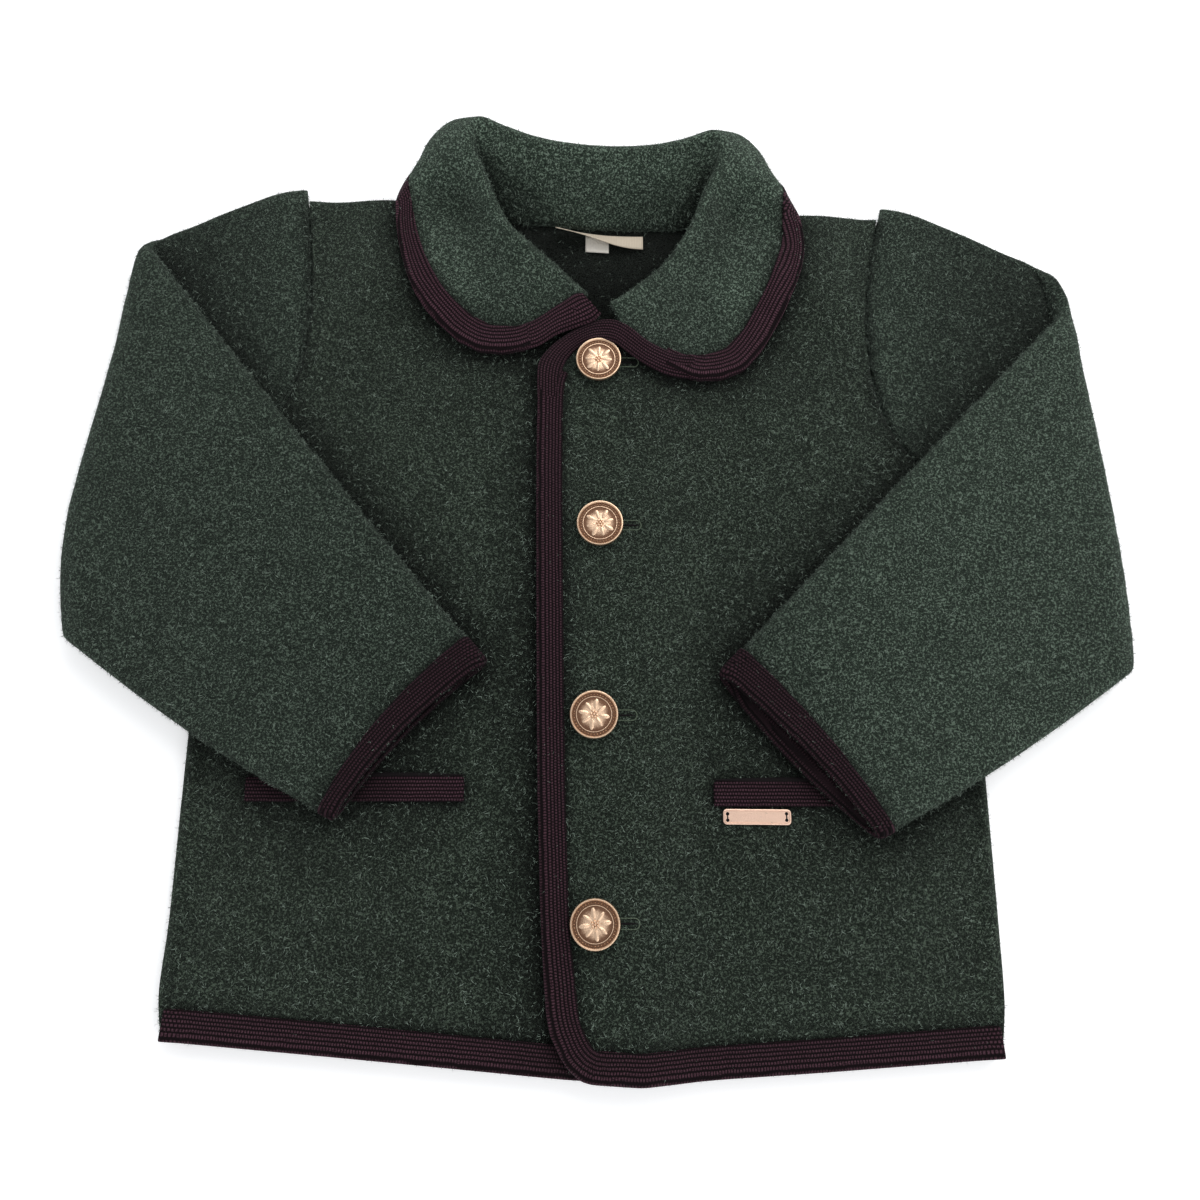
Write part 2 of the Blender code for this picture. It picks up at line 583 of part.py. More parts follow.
def cuff_line(spec, recess):
    """The cuff's edge between its corners, drawn in at the middle by the recess."""
    top, low = Vector(spec["cuff"][0]), Vector(spec["cuff"][1])
    back = (low - top).normalized()
    back = Vector((-back.y, back.x))
    if back.x * top.x < 0:
        back = -back
    points = []
    for k in range(SLEEVE_POINTS):
        w = k / (SLEEVE_POINTS - 1)
        points.append(top.lerp(low, w) + back * recess * 4.0 * w * (1.0 - w))
    return points


def forearm_ring(side, share, inset):
    """One ring round the forearm, at a share of the way from the fold to the cuff."""
    spec = SLEEVES[side]
    lines = []
    for recess in spec["recess"]:
        line = []
        for k, (a, b) in enumerate(zip(inner_fold(side, spec["drop"]), cuff_line(spec, recess))):
            w = k / (SLEEVE_POINTS - 1)
            drop = 4.0 * share * (1.0 - share) * (spec["sag"] * (1.0 - w) ** 2 + spec["belly"] * w ** 2)
            line.append(a.lerp(b, share) - Vector((0.0, drop)))
        lines.append(line)
    half = mix(FOREARM, FOREARM - 0.8, share) / 2.0

    def middle(w):
        rest = mix(*FOREARM_REST, ease(0.3, 0.62, w)) + half
        return mix(FOLDED_HEIGHT, rest, ease(0.0, 0.55, share))

    return flat_ring(lines[1], middle, lambda w: half, -UP, inset, lower=lines[0])


# ---- collar ------------------------------------------------------------------------------------
def collar_rest(x, y):
    """Top of what the collar lies on at the front, with the lapping corner and its braid."""
    braid = LIP * (1.0 - ease(24.0, 50.0, x))
    return front_top(x, y) + (lap_height(x, y) + braid) * ease(-10.0, 2.0, x)


def collar_seam(x, y, on_back):
    """The collar's lower edge stands on the panel that it is sewn to. At the back the stand leans
    out, so the face that shows is a cloth's thickness higher."""
    if on_back:
        return Vector((x, y, back_top(x, y) + CLOTH + 2.0 * SEAM))
    return Vector((x, y, (over_top(x, y) if x > 0 else front_top(x, y)) + 2.0 * SEAM))


def roll_arc(seam, roll, bend, out, radius):
    """Five points round the fold, square to the fold line, turning from the stand into the fall."""
    rise = roll - seam
    fall = bend - roll - out * radius
    before = min(atan2(rise.z, rise.dot(out)), radians(125))
    after = min(atan2(-fall.z, fall.dot(out)), radians(100))
    points = []
    for turn in (-before, -before / 2.0, 0.0, after / 2.0, after):
        points.append(roll + out * (radius * sin(turn)) - UP * (radius * (1.0 - cos(turn))))
    return points


def collar_controls():
    """For each row, ten points on the face that shows, from the seam over the roll to the edge,
    and three inside it, from under the fall to the foot of the stand."""
    rows = []
    for row in COLLAR_FRONT_RIGHT + COLLAR_BACK + COLLAR_FRONT_LEFT:
        seam, roll, rest = row[0:2], Vector(row[2:5]), row[5:]
        if len(rest) == 2:
            bend, foot, edge = None, None, Vector((*rest, 0.0))
        else:
            bend, foot, edge = (Vector(rest[k:k + 3]) for k in (0, 3, 6))
        on_back = bend is not None and abs(seam[0] - MIDDLE_X) < SHOULDER_SEAM
        rows.append((collar_seam(*seam, on_back), roll, bend, foot, edge))
    controls = []
    for k, (seam, roll, bend, foot, edge) in enumerate(rows):
        radius = ROLL_RADIUS["back" if bend else "front"]
        roll.z = max(roll.z, seam.z + 2.0 * radius)
        fold_line = rows[min(k + 1, len(rows) - 1)][1] - rows[max(k - 1, 0)][1]
        out = Vector((fold_line.y, -fold_line.x, 0.0)).normalized()
        out = out if out.dot((bend or edge) - roll) > 0.0 else -out
        if bend is None:
            stand = (seam - roll).dot(out)
            over_seam = min((stand + 2.0) / (edge - roll).dot(out), 0.6)
            bend, foot = roll.lerp(edge, over_seam), roll.lerp(edge, 0.5 + over_seam / 2.0)
            for point in (bend, foot, edge):
                past = max((point - roll).dot(out) - stand, 0.0)
                point.z = max(collar_rest(point.x, point.y) + FALL_HEIGHT,
                              seam.z + 2.0 * CLOTH + 2.0 * SEAM - FALL_SLOPE * past)
        arc = roll_arc(seam, roll, bend, out, radius)
        if k in COLLAR_CORNERS:
            hollow = [Vector(point) for point in COLLAR_CORNERS[k]] + [seam - UP * 2.0 * SEAM]
        elif edge.z > 2.0 * LIP:
            top, base = bend - UP * (CLOTH + SEAM), seam + out * CLOTH
            hollow = [top, top.lerp(base, 0.5), base]
        else:
            turn = seam + (roll - seam) * (NECK_TURN / hypot(roll.x - seam.x, roll.y - seam.y))
            hollow = [turn.copy(), turn, seam - UP * CLOTH]
            hollow[0].z = LIP + COLLAR_EASE + CLOTH + (2.0 * LIP if foot.z > 2.0 * CLOTH else 0.0)
            hollow[1].z = seam.z - CLOTH + SEAM
        controls.append([seam, seam.lerp(arc[0], 0.5), *arc, bend, foot, edge, *hollow])
    return controls


def collar_section(controls, at, across):
    """A point on the face that shows: at runs round the neck, across from the seam to the edge."""
    column = [Vector(spline([row[k] for row in controls], at)) for k in range(10)]
    point = curve(column, across)
    point.z = max(point.z, LIP + COLLAR_EASE)
    inside = edge_distance(point.x, point.y)
    if across > 6.0 and point.z > FRONT_LEVEL and inside > -1.0:
        point.z = max(point.z, collar_rest(point.x, point.y) + FALL_HEIGHT)
    elif across > 6.0 and point.z < FRONT_LEVEL:
        point.z = mix(point.z, LIP + COLLAR_EASE, ease(-12.0, -3.0, inside))
    return point


def collar_stations(controls):
    """Places round the neck for the collar's sections, closer where it turns under."""
    stations = [END_TRIM]
    last = len(controls) - 1.0 - END_TRIM
    while stations[-1] < last:
        close = any(abs(stations[-1] - row) < 1.4 for row in TURN_ROWS)
        stations.append(min(stations[-1] + (0.4 if close else 0.5), last))
    return stations


def collar_fall(controls, at):
    """The fall's face as a line from its edge to the fold, its length, how far the braid reaches
    in over its face and beneath it, and how far the fall is free of what is inside the collar."""
    line = [collar_section(controls, at, 9.0 - k * 0.15) for k in range(21)]
    lengths = [(b - a).length for a, b in zip(line, line[1:])]
    over = min(BRAID_WIDTH, sum(lengths) - 2.0 * ROLL_RADIUS["front"])
    free = sum(lengths[:12])
    under = min(over, free - 1.5)
    return line, sum(lengths), over, under, min(under + 3.0, free)


def fall_frames(controls, at, reaches):
    """For each reach in from the fall's edge: the point on its face, inward and outward of it."""
    last = len(controls) - 1.0
    line, length = collar_fall(controls, at)[0:2]
    beside = collar_fall(controls, min(at + 0.05, last))[0]
    before = collar_fall(controls, max(at - 0.05, 0.0))[0]
    frames = []
    for reach in reaches:
        share = max(reach, 0.0) / length
        place = along(line, share)
        inward = (along(line, share + 0.02) - place).normalized()
        ahead = (along(beside, share) - along(before, share)).normalized()
        frames.append((place, inward, inward.cross(ahead).normalized()))
    return frames


def collar(controls):
    """The stand and the fall as one piece, with the fall's free part one cloth thick."""
    rings = []
    for at in collar_stations(controls):
        line, length, over, under, free = collar_fall(controls, at)
        ring = [collar_section(controls, at, across) for across in STAND_ACROSS]
        for reach in (length, mix(over, length, 0.66), mix(over, length, 0.33), over, over / 2.0, 0.0):
            ring.append(along(line, reach / length))
        for place, _, normal in fall_frames(controls, at, (0.0, under / 2.0, under, free)):
            ring.append(place - normal * CLOTH)
        ring += [Vector(spline([row[k] for row in controls], at)) for k in (10, 11, 12)]
        rings.append(ring)
    return ring_loft("collar", rings, "loden", caps="whole")


def collar_binding(controls):
    """The braid round the collar's outer edge, made from points of the collar's face."""
    rings = []
    for at in collar_stations(controls):
        over, under = collar_fall(controls, at)[2:4]
        lip = ((over, 1), (over / 2.0, 1), (-BRAID, 1), (-LIP - SEAM, 0), (-BRAID, -1),
               (under / 2.0, -1), (under, -1))
        hold = ((under, -1), (under / 2.0, -1), (-2.0 * SEAM, -1), (-2.0 * SEAM, 0),
                (-2.0 * SEAM, 1), (over / 2.0, 1), (over, 1))
        sides = [(*point, LIP + COLLAR_EASE) for point in lip]
        sides += [(*point, SEAM + COLLAR_EASE) for point in hold]
        frames = fall_frames(controls, at, [side[0] for side in sides])
        ring = []
        for (reach, level, thick), (place, inward, normal) in zip(sides, frames):
            depth = {1: thick, 0: -CLOTH / 2.0, -1: -CLOTH - thick}[level]
            point = place + inward * min(reach, 0.0) + normal * depth
            point.z = max(point.z, 0.0 if thick > LIP else BRAID)
            ring.append(point)
        rings.append(ring)
    return ring_loft("collar_braid", rings, "braid")


# ---- cuffs, pockets, buttons and labels --------------------------------------------------------
def cuff_binding(side):
    """The braid folded over both layers of the cuff's edge, a closed band."""
    top, low = (Vector(corner) for corner in SLEEVES[side]["cuff"])
    axis = inner_fold(side, SLEEVES[side]["drop"])
    length = ((top + low) / 2.0 - (axis[0] + axis[-1]) / 2.0).length
    rings = []
    for distance, inset in ((BRAID_WIDTH, -LIP), (0.0, -LIP), (-LIP, CLOTH / 2.0),
                            (0.0, CLOTH + LIP), (BRAID_WIDTH, CLOTH + LIP),
                            (BRAID_WIDTH, CLOTH + SEAM), (-SEAM, CLOTH + SEAM),
                            (-SEAM, -SEAM), (BRAID_WIDTH, -SEAM)):
        rings.append(forearm_ring(side, 1.0 - distance / length, inset))
    return ring_loft("cuff_braid_" + side, rings, "braid", caps="joined")


def slab(name, centre, size, slot, round_off, height):
    """A thin strip with rounded edges, lying on a panel."""
    bm = bmesh.new()
    bmesh.ops.create_cube(bm, size=1.0)
    bmesh.ops.scale(bm, vec=size, verts=bm.verts)
    upright = [e for e in bm.edges if abs(e.verts[0].co.z - e.verts[1].co.z) > size[2] / 2.0]
    bmesh.ops.bevel(bm, geom=upright, offset=round_off, segments=3, profile=0.5,
                    affect="EDGES", material=-1)
    top = [e for e in bm.edges if min(v.co.z for v in e.verts) > 0.0]
    bmesh.ops.bevel(bm, geom=top, offset=size[2] * 0.3, segments=1, profile=0.5,
                    affect="EDGES", material=-1)
    base = height(*centre) + SEAM + size[2] / 2.0
    bmesh.ops.translate(bm, vec=(centre[0], centre[1], base), verts=bm.verts)
    return finish(name, bm, slot)


def button(name, x, y):
    """A turned disc with a raised rim and a domed face, on a shank clear of the braid."""
    lift = LIP + SEAM
    outline = (
        (0.0, lift + 2.2), (5.8, lift + 2.0), (7.2, lift + 1.7), (8.0, lift + 2.6),
        (9.3, lift + 2.6), (10.0, lift + 1.8), (10.0, lift + 1.0), (8.8, lift + 0.3),
        (SHANK_RADIUS, lift + 0.1), (SHANK_RADIUS, SEAM), (0.0, SEAM),
    )
    bm = bmesh.new()
    verts = [bm.verts.new((radius, 0.0, height)) for radius, height in outline]
    edges = [bm.edges.new(pair) for pair in zip(verts, verts[1:])]
    bmesh.ops.spin(bm, geom=verts + edges, cent=(0.0, 0.0, 0.0), axis=(0.0, 0.0, 1.0),
                   angle=2.0 * pi, steps=18, use_merge=True)
    bmesh.ops.remove_doubles(bm, verts=bm.verts, dist=0.001)
    bmesh.ops.recalc_face_normals(bm, faces=bm.faces)
    bmesh.ops.translate(bm, vec=(x, y, over_top(x, y)), verts=bm.verts)
    return finish(name, bm, "button_metal")


def label(name, spec, slot):
    """A flat woven label lying inside the back neck."""
    rows = []
    for down in (1.0, 0.5, 0.0):
        row = []
        for k in range(5):
            x = mix(*spec["x"], k / 4.0)
            y = mix(*spec["y"], k / 4.0) - spec["depth"] * down
            row.append(Vector((x, y, back_top(x, y) + SEAM + spec["thick"])))
        rows.append(row)
    return grid_sheet(name, rows, slot, spec["thick"])


# ---- build -------------------------------------------------------------------------------------
for old in list(bpy.data.objects):
    bpy.data.objects.remove(old, do_unlink=True)

JACKET = bpy.data.collections.new("tyrolean_jacket")
bpy.context.scene.collection.children.link(JACKET)
MATERIALS = {}
for slot, (colour, roughness, metallic) in COLOURS.items():
    material = bpy.data.materials.new(slot)
    material.use_nodes = True
    shader = material.node_tree.nodes["Principled BSDF"]
    shader.inputs["Base Color"].default_value = (*colour, 1.0)
    shader.inputs["Roughness"].default_value = roughness
    shader.inputs["Metallic"].default_value = metallic
    MATERIALS[slot] = material

grid_sheet("back", back_rows(), "loden", CLOTH, outward=False)
grid_sheet("front_right", front_rows("right", FRONT_RIGHT, front_top), "loden", CLOTH)
grid_sheet("front_left", front_rows("left", FRONT_LEFT, over_top), "loden", CLOTH)
sleeve("right", FRONT_RIGHT)
sleeve("left", FRONT_LEFT)
controls = collar_controls()
collar(controls)
collar_binding(controls)
binding("braid_front_left", front_path(FRONT_LEFT, 13.75, SIDE_ENDS[1]), over_top, 1.0)
binding("braid_front_right", front_path(FRONT_RIGHT, 13.25, SIDE_ENDS[0]), front_top, -1.0)
binding("braid_back", hem_path(*SIDE_ENDS, 12), back_top, 1.0)
cuff_binding("right")
cuff_binding("left")
for side, centre in WELTS.items():
    slab("pocket_welt_" + side, centre, WELT_SIZE, "braid", 0.8,
         front_top if side == "right" else over_top)
slab("name_plate", PLATE_AT, PLATE_SIZE, "plate_metal", 1.6, over_top)
for number, (x, y) in enumerate(BUTTONS):
    button("button_" + str(number + 1), x, y)
label("neck_label", NECK_LABEL, "label_woven")
label("size_label", SIZE_LABEL, "label_white")
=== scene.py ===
# %% [markdown]
# # A child's loden jacket, laid flat
#
# The real jacket is sewn from boiled wool, a knitted cloth that has been felted until its loops
# vanish. It is soft, thick and matt. Knitted braid is folded over every edge, four cast buttons
# close the front, and the sleeves are folded in over the fronts. The solids of the frame already
# hold the exact size and place of each piece. This lesson turns them into cloth.

from math import cos, pi, radians, sin

import bmesh
import bpy
import numpy as np
from mathutils import Matrix, Vector, noise
from mathutils.bvhtree import BVHTree


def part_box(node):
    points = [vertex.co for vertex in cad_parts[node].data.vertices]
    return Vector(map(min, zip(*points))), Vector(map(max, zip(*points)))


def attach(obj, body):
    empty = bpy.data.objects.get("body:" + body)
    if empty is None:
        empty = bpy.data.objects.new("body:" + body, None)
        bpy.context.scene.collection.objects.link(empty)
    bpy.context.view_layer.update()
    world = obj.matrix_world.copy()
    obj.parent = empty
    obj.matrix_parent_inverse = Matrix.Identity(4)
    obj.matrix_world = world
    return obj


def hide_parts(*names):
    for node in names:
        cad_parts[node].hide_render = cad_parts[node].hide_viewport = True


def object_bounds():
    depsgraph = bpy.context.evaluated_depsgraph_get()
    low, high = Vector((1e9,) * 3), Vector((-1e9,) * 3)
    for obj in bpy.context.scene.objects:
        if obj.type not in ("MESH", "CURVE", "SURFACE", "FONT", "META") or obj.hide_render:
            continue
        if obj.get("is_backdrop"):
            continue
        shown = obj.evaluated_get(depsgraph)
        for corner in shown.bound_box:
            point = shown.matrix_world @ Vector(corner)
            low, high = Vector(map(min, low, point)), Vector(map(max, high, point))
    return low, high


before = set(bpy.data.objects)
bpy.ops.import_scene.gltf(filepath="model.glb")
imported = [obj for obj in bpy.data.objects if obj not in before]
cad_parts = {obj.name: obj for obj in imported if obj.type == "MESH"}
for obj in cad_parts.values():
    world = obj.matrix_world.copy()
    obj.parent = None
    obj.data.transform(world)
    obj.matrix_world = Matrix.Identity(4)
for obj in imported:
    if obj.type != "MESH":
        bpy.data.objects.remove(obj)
cad_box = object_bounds()
MM = 0.001
print("solids:", len(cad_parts), "box:", cad_box)

# %% [markdown]
# ## Camera
#
# The jacket lies on the floor and is seen from above its hem, leaning about twelve degrees. A
# short lens so close to the cloth makes the hem a little larger than the shoulders. A turned
# camera with no shift gives this view, so its turn is given instead of aimed with a constraint.

# %% Place the camera
camera = bpy.data.objects.new("camera", bpy.data.cameras.new("camera"))
camera.data.lens = 30.0
camera.data.sensor_width = 36.0
camera.location = (0.004, -0.10297, 0.42005)
camera.rotation_euler = (radians(12.35), 0.0, 0.0)
bpy.context.scene.collection.objects.link(camera)
bpy.context.scene.camera = camera

# %% [markdown]
# ## Floor and light
#
# Dark felt shows its form only through soft shading. A wide lamp above and behind the collar,
# with a weaker one at the wearer's left, gives slow gradients over the sleeves and a soft dark
# line beside each raised edge, and shade painted into the cloth's colour further down deepens both.
# A pale world fills the rest, and the white paper under the jacket glows faintly, which keeps it
# white and lights the rims from below. A hard sun would draw shadows that hide the melange.

# %% Lay the floor
def set_sockets(shader, values):
    """Give the named sockets of a shader their values."""
    for name, value in values.items():
        shader.inputs[name].default_value = value


scene = bpy.context.scene
scene.view_settings.view_transform = "Standard"

floor_mesh = bmesh.new()
bmesh.ops.create_grid(floor_mesh, x_segments=4, y_segments=4, size=1.6)
bmesh.ops.translate(floor_mesh, vec=(0.0, 0.0, -0.0002), verts=floor_mesh.verts)
floor_data = bpy.data.meshes.new("floor")
floor_mesh.to_mesh(floor_data)
floor_mesh.free()
floor = bpy.data.objects.new("floor", floor_data)
scene.collection.objects.link(floor)
floor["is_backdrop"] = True
paper = bpy.data.materials.new("white_paper")
paper.use_nodes = True
set_sockets(paper.node_tree.nodes["Principled BSDF"], {
    "Base Color": (0.93, 0.93, 0.93, 1.0), "Roughness": 0.9,
    "Emission Color": (1.0, 1.0, 1.0, 1.0), "Emission Strength": 0.35})
floor_data.materials.append(paper)
print("floor laid")

# %% Hang the lamps
world = bpy.data.worlds.new("pale_room")
scene.world = world
world.use_nodes = True
set_sockets(world.node_tree.nodes["Background"], {"Color": (0.95, 0.97, 1.0, 1.0), "Strength": 0.62})


def lamp(name, place, target, size, power):
    """A square soft lamp that looks at a point."""
    light = bpy.data.lights.new(name, "AREA")
    light.shape = "SQUARE"
    light.size = size
    light.energy = power
    holder = bpy.data.objects.new(name, light)
    holder.location = place
    holder.rotation_euler = (Vector(target) - Vector(place)).to_track_quat("-Z", "Y").to_euler()
    scene.collection.objects.link(holder)
    return holder


lamp("window", (0.35, 0.75, 0.85), (0.0, 0.0, 0.0), 0.9, 7.0)
lamp("room", (0.55, -0.65, 0.9), (0.0, 0.0, 0.0), 0.9, 3.2)
print("two lamps and a pale world")

# %% [markdown]
# ## Building blocks for materials
#
# A material in Blender is a graph of nodes. Effects that several finishes share are built once
# as node groups, with named inputs and outputs, and are then placed in each material with its own
# values. A group here gives out a colour, a height and for metal a roughness. The shader itself
# stays in the material.

# %% A short hand for node graphs
def node(tree, kind, inputs=None, **settings):
    """A node with its settings and its sockets set. A socket's value may be another socket."""
    made = tree.nodes.new(kind)
    for name, value in settings.items():
        setattr(made, name, value)
    for key, value in (inputs or {}).items():
        if isinstance(value, bpy.types.NodeSocket):
            tree.links.new(value, made.inputs[key])
        else:
            made.inputs[key].default_value = value
    return made


def maths(tree, operation, a, b=0.0, c=0.0):
    return node(tree, "ShaderNodeMath", {0: a, 1: b, 2: c}, operation=operation).outputs[0]


def blend(tree, share, a, b, how="MIX"):
    """One colour laid over another by a share."""
    mixed = node(tree, "ShaderNodeMix", {0: share, 6: a, 7: b}, data_type="RGBA", blend_type=how)
    return mixed.outputs[2]


def between(tree, value, low, high):
    """0 below low, 1 above high, and a smooth ramp between them."""
    ramp = node(tree, "ShaderNodeMapRange", {0: value, 1: low, 2: high, 3: 0.0, 4: 1.0},
                interpolation_type="SMOOTHSTEP")
    return ramp.outputs[0]


def lumps(tree, place, scale, detail, roughness=0.5, distortion=0.0, out="Fac"):
    """Noise with lumps about one over the scale wide."""
    made = node(tree, "ShaderNodeTexNoise", {"Vector": place, "Scale": scale, "Detail": detail,
                                             "Roughness": roughness, "Distortion": distortion})
    return made.outputs[out]


def scaled(tree, vector, by):
    """A place or a colour times a number."""
    return node(tree, "ShaderNodeVectorMath", {0: vector, "Scale": by}, operation="SCALE").outputs[0]


def pushed(tree, vector, push, far):
    """A place moved by a noise's colour, so that a pattern on it loses its straight lines."""
    return node(tree, "ShaderNodeVectorMath", {0: push, 1: far, 2: vector},
                operation="MULTIPLY_ADD").outputs[0]


def object_place(tree):
    return node(tree, "ShaderNodeTexCoord").outputs["Object"]


def stored(tree, name):
    """The number that a piece keeps at every vertex under a name."""
    return node(tree, "ShaderNodeAttribute", attribute_name=name).outputs["Fac"]

# %% Start a node group
def group(name, inputs, outputs):
    """An empty node group with named sockets, and its two end nodes."""
    tree = bpy.data.node_groups.new(name, "ShaderNodeTree")
    for label, kind in inputs:
        tree.interface.new_socket(name=label, in_out="INPUT", socket_type=kind)
    for label, kind in outputs:
        tree.interface.new_socket(name=label, in_out="OUTPUT", socket_type=kind)
    start = tree.nodes.new("NodeGroupInput")
    end = tree.nodes.new("NodeGroupOutput")
    return tree, start, end


COLOUR, NUMBER, VECTOR = "NodeSocketColor", "NodeSocketFloat", "NodeSocketVector"

# %% [markdown]
# ## Felted wool
#
# Boiled wool is a melange: bottle green, paler green and nearly black fibres are carded together
# before spinning, so the cloth is never one colour. From near, its face is a tangle of specks a
# millimetre across, with a few pale hairs lying over it. Noise at three sizes in the object's own
# space gives all of that without any seam between pieces, and the same specks lift the surface a
# little through a bump.

# %% The melange group
felt_group, start, end = group(
    "felt_melange",
    [("Place", VECTOR), ("Ground", COLOUR), ("Pale", COLOUR), ("Dark", COLOUR), ("Grain mm", NUMBER),
     ("Painted light and shade", NUMBER)],
    [("Color", COLOUR), ("Height", NUMBER)])
t = felt_group
size = maths(t, "DIVIDE", 1000.0, start.outputs["Grain mm"])
place = scaled(t, start.outputs["Place"], size)
tangle = pushed(t, place, lumps(t, place, 0.55, 2.0, out="Color"), (1.9, 1.9, 1.9))
specks = lumps(t, tangle, 1.0, 4.0, 0.62)
shades = lumps(t, place, 1.7, 3.0, 0.6, 1.4)
hair_line = maths(t, "ABSOLUTE", maths(t, "SUBTRACT", lumps(t, tangle, 0.45, 5.0, 0.7, 3.0), 0.5))
hair_mask = maths(t, "SUBTRACT", 1.0, between(t, hair_line, 0.006, 0.028))
sparse = between(t, shades, 0.52, 0.68)
pale_mask = maths(t, "MULTIPLY", between(t, specks, 0.51, 0.61), 0.95)
dark_mask = maths(t, "MULTIPLY", between(t, shades, 0.55, 0.42), 0.92)
tint = blend(t, dark_mask, start.outputs["Ground"], start.outputs["Dark"])
tint = blend(t, pale_mask, tint, start.outputs["Pale"])
tint = blend(t, maths(t, "MULTIPLY", maths(t, "MULTIPLY", hair_mask, sparse), 0.75), tint,
             start.outputs["Pale"])
patch = maths(t, "MULTIPLY_ADD", lumps(t, place, 0.06, 3.0), 0.5, 0.75)
# The painted light and shade stored at each vertex multiplies the colour here: shade in corners, light
# on raised parts.
patch = maths(t, "MULTIPLY", patch, start.outputs["Painted light and shade"])
height = maths(t, "MULTIPLY_ADD", specks, 0.75, maths(t, "MULTIPLY", hair_mask, 0.12))
height = maths(t, "MULTIPLY_ADD", shades, 0.35, height)
t.links.new(scaled(t, tint, patch), end.inputs["Color"])
t.links.new(height, end.inputs["Height"])
print("felt group:", len(t.nodes), "nodes")

# %% [markdown]
# ## Ribbed knit
#
# The braid is knitted, with fine ribs that run along it. Each rib is a chain of small plum
# stitches on a nearly black ground. The pattern has to follow the braid round every corner, so
# it reads a UV map in which U runs along the edge and V across it, both in tens of millimetres.

# %% The knit group
knit_group, start, end = group(
    "ribbed_knit",
    [("UV", VECTOR), ("Ground", COLOUR), ("Stitch", COLOUR), ("Rib mm", NUMBER), ("Stitch mm", NUMBER)],
    [("Color", COLOUR), ("Height", NUMBER)])
t = knit_group
flat = scaled(t, start.outputs["UV"], 10.0)
bent = pushed(t, flat, lumps(t, flat, 0.22, 2.0, out="Color"), (0.5, 0.5, 0.0))
uv = node(t, "ShaderNodeSeparateXYZ", {0: bent})
rib_turn = maths(t, "DIVIDE", uv.outputs["Y"], start.outputs["Rib mm"])
rib = maths(t, "ABSOLUTE", maths(t, "SINE", maths(t, "MULTIPLY", rib_turn, pi)))
odd = maths(t, "MULTIPLY", maths(t, "FLOOR", rib_turn), 0.5)
stitch_turn = maths(t, "ADD", maths(t, "DIVIDE", uv.outputs["X"], start.outputs["Stitch mm"]), odd)
stitch = maths(t, "ABSOLUTE", maths(t, "SINE", maths(t, "MULTIPLY", stitch_turn, pi)))
fray = lumps(t, flat, 2.6, 3.0)
loops = maths(t, "MULTIPLY", between(t, rib, 0.3, 0.95), between(t, stitch, 0.2, 0.85))
loops = maths(t, "MULTIPLY", loops, between(t, fray, 0.3, 0.62))
tint = blend(t, loops, start.outputs["Ground"], start.outputs["Stitch"])
height = maths(t, "MULTIPLY_ADD", rib, 0.7, maths(t, "MULTIPLY", stitch, 0.28))
height = maths(t, "MULTIPLY_ADD", fray, 0.25, height)
t.links.new(tint, end.inputs["Color"])
t.links.new(height, end.inputs["Height"])
print("knit group:", len(t.nodes), "nodes")

# %% [markdown]
# ## Cast and rubbed metal
#
# The buttons and the small plate are cast, plated in an antique rose bronze, and then rubbed, so
# that the high places shine and the hollows stay dark. Each metal piece carries a number at every
# vertex, its relief, that says how high it stands. The group mixes the two colours by it and
# breaks the border up with a fine noise.

# %% The patina group
metal_group, start, end = group(
    "rubbed_patina",
    [("Place", VECTOR), ("Relief", NUMBER), ("Shine", COLOUR), ("Hollow", COLOUR)],
    [("Color", COLOUR), ("Roughness", NUMBER), ("Height", NUMBER)])
t = metal_group
place = scaled(t, start.outputs["Place"], 1000.0)
fine = lumps(t, place, 2.2, 4.0)
broad = lumps(t, place, 0.35, 2.0)
edge = maths(t, "MULTIPLY_ADD", maths(t, "SUBTRACT", fine, 0.5), 0.35, start.outputs["Relief"])
edge = maths(t, "MULTIPLY_ADD", maths(t, "SUBTRACT", broad, 0.5), 0.25, edge)
rubbed = between(t, edge, 0.08, 0.5)
t.links.new(blend(t, rubbed, start.outputs["Hollow"], start.outputs["Shine"]), end.inputs["Color"])
t.links.new(maths(t, "MULTIPLY_ADD", rubbed, -0.24, 0.6), end.inputs["Roughness"])
t.links.new(fine, end.inputs["Height"])
print("metal group:", len(t.nodes), "nodes")

# %% [markdown]
# ## The finishes
#
# Every finish is one Principled shader fed by a group. Loden scatters light between its fibres
# and glows a little at grazing angles, which the sheen layer gives. Body, sleeves and collar come
# from the same bolt. The collar and the sleeves get a paler copy of the loden, which is painted
# light: they lie higher than the fronts and catch more of it.

# %% Felt, knit, metal and label finishes
finishes = {}


def start_finish(name, roughness, sheen=0.0, sheen_tint=(1.0, 1.0, 1.0, 1.0), spread=0.45,
                 metallic=0.0, gloss=0.5):
    """An empty finish and its shader, with the values that are the same all over."""
    material = bpy.data.materials.new(name)
    material.use_nodes = True
    shader = material.node_tree.nodes["Principled BSDF"]
    set_sockets(shader, {"Roughness": roughness, "Metallic": metallic, "Specular IOR Level": gloss,
                         "Sheen Weight": sheen, "Sheen Roughness": spread, "Sheen Tint": sheen_tint})
    finishes[name] = material
    return material.node_tree, shader


def bump(tree, shader, height, distance, strength=1.0):
    lifted = node(tree, "ShaderNodeBump", {"Height": height, "Distance": distance, "Strength": strength})
    tree.links.new(lifted.outputs[0], shader.inputs["Normal"])


def felt(name, ground, pale, dark):
    tree, shader = start_finish(name, 0.95, 0.14, (0.66, 0.76, 0.66, 1.0), spread=0.3, gloss=0.08)
    cloth = node(tree, "ShaderNodeGroup", {
        "Place": object_place(tree), "Ground": (*ground, 1.0), "Pale": (*pale, 1.0),
        "Dark": (*dark, 1.0), "Grain mm": 0.84, "Painted light and shade": stored(tree, "painted_light_and_shade")}, node_tree=felt_group)
    tree.links.new(cloth.outputs["Color"], shader.inputs["Base Color"])
    bump(tree, shader, cloth.outputs["Height"], 0.0014)


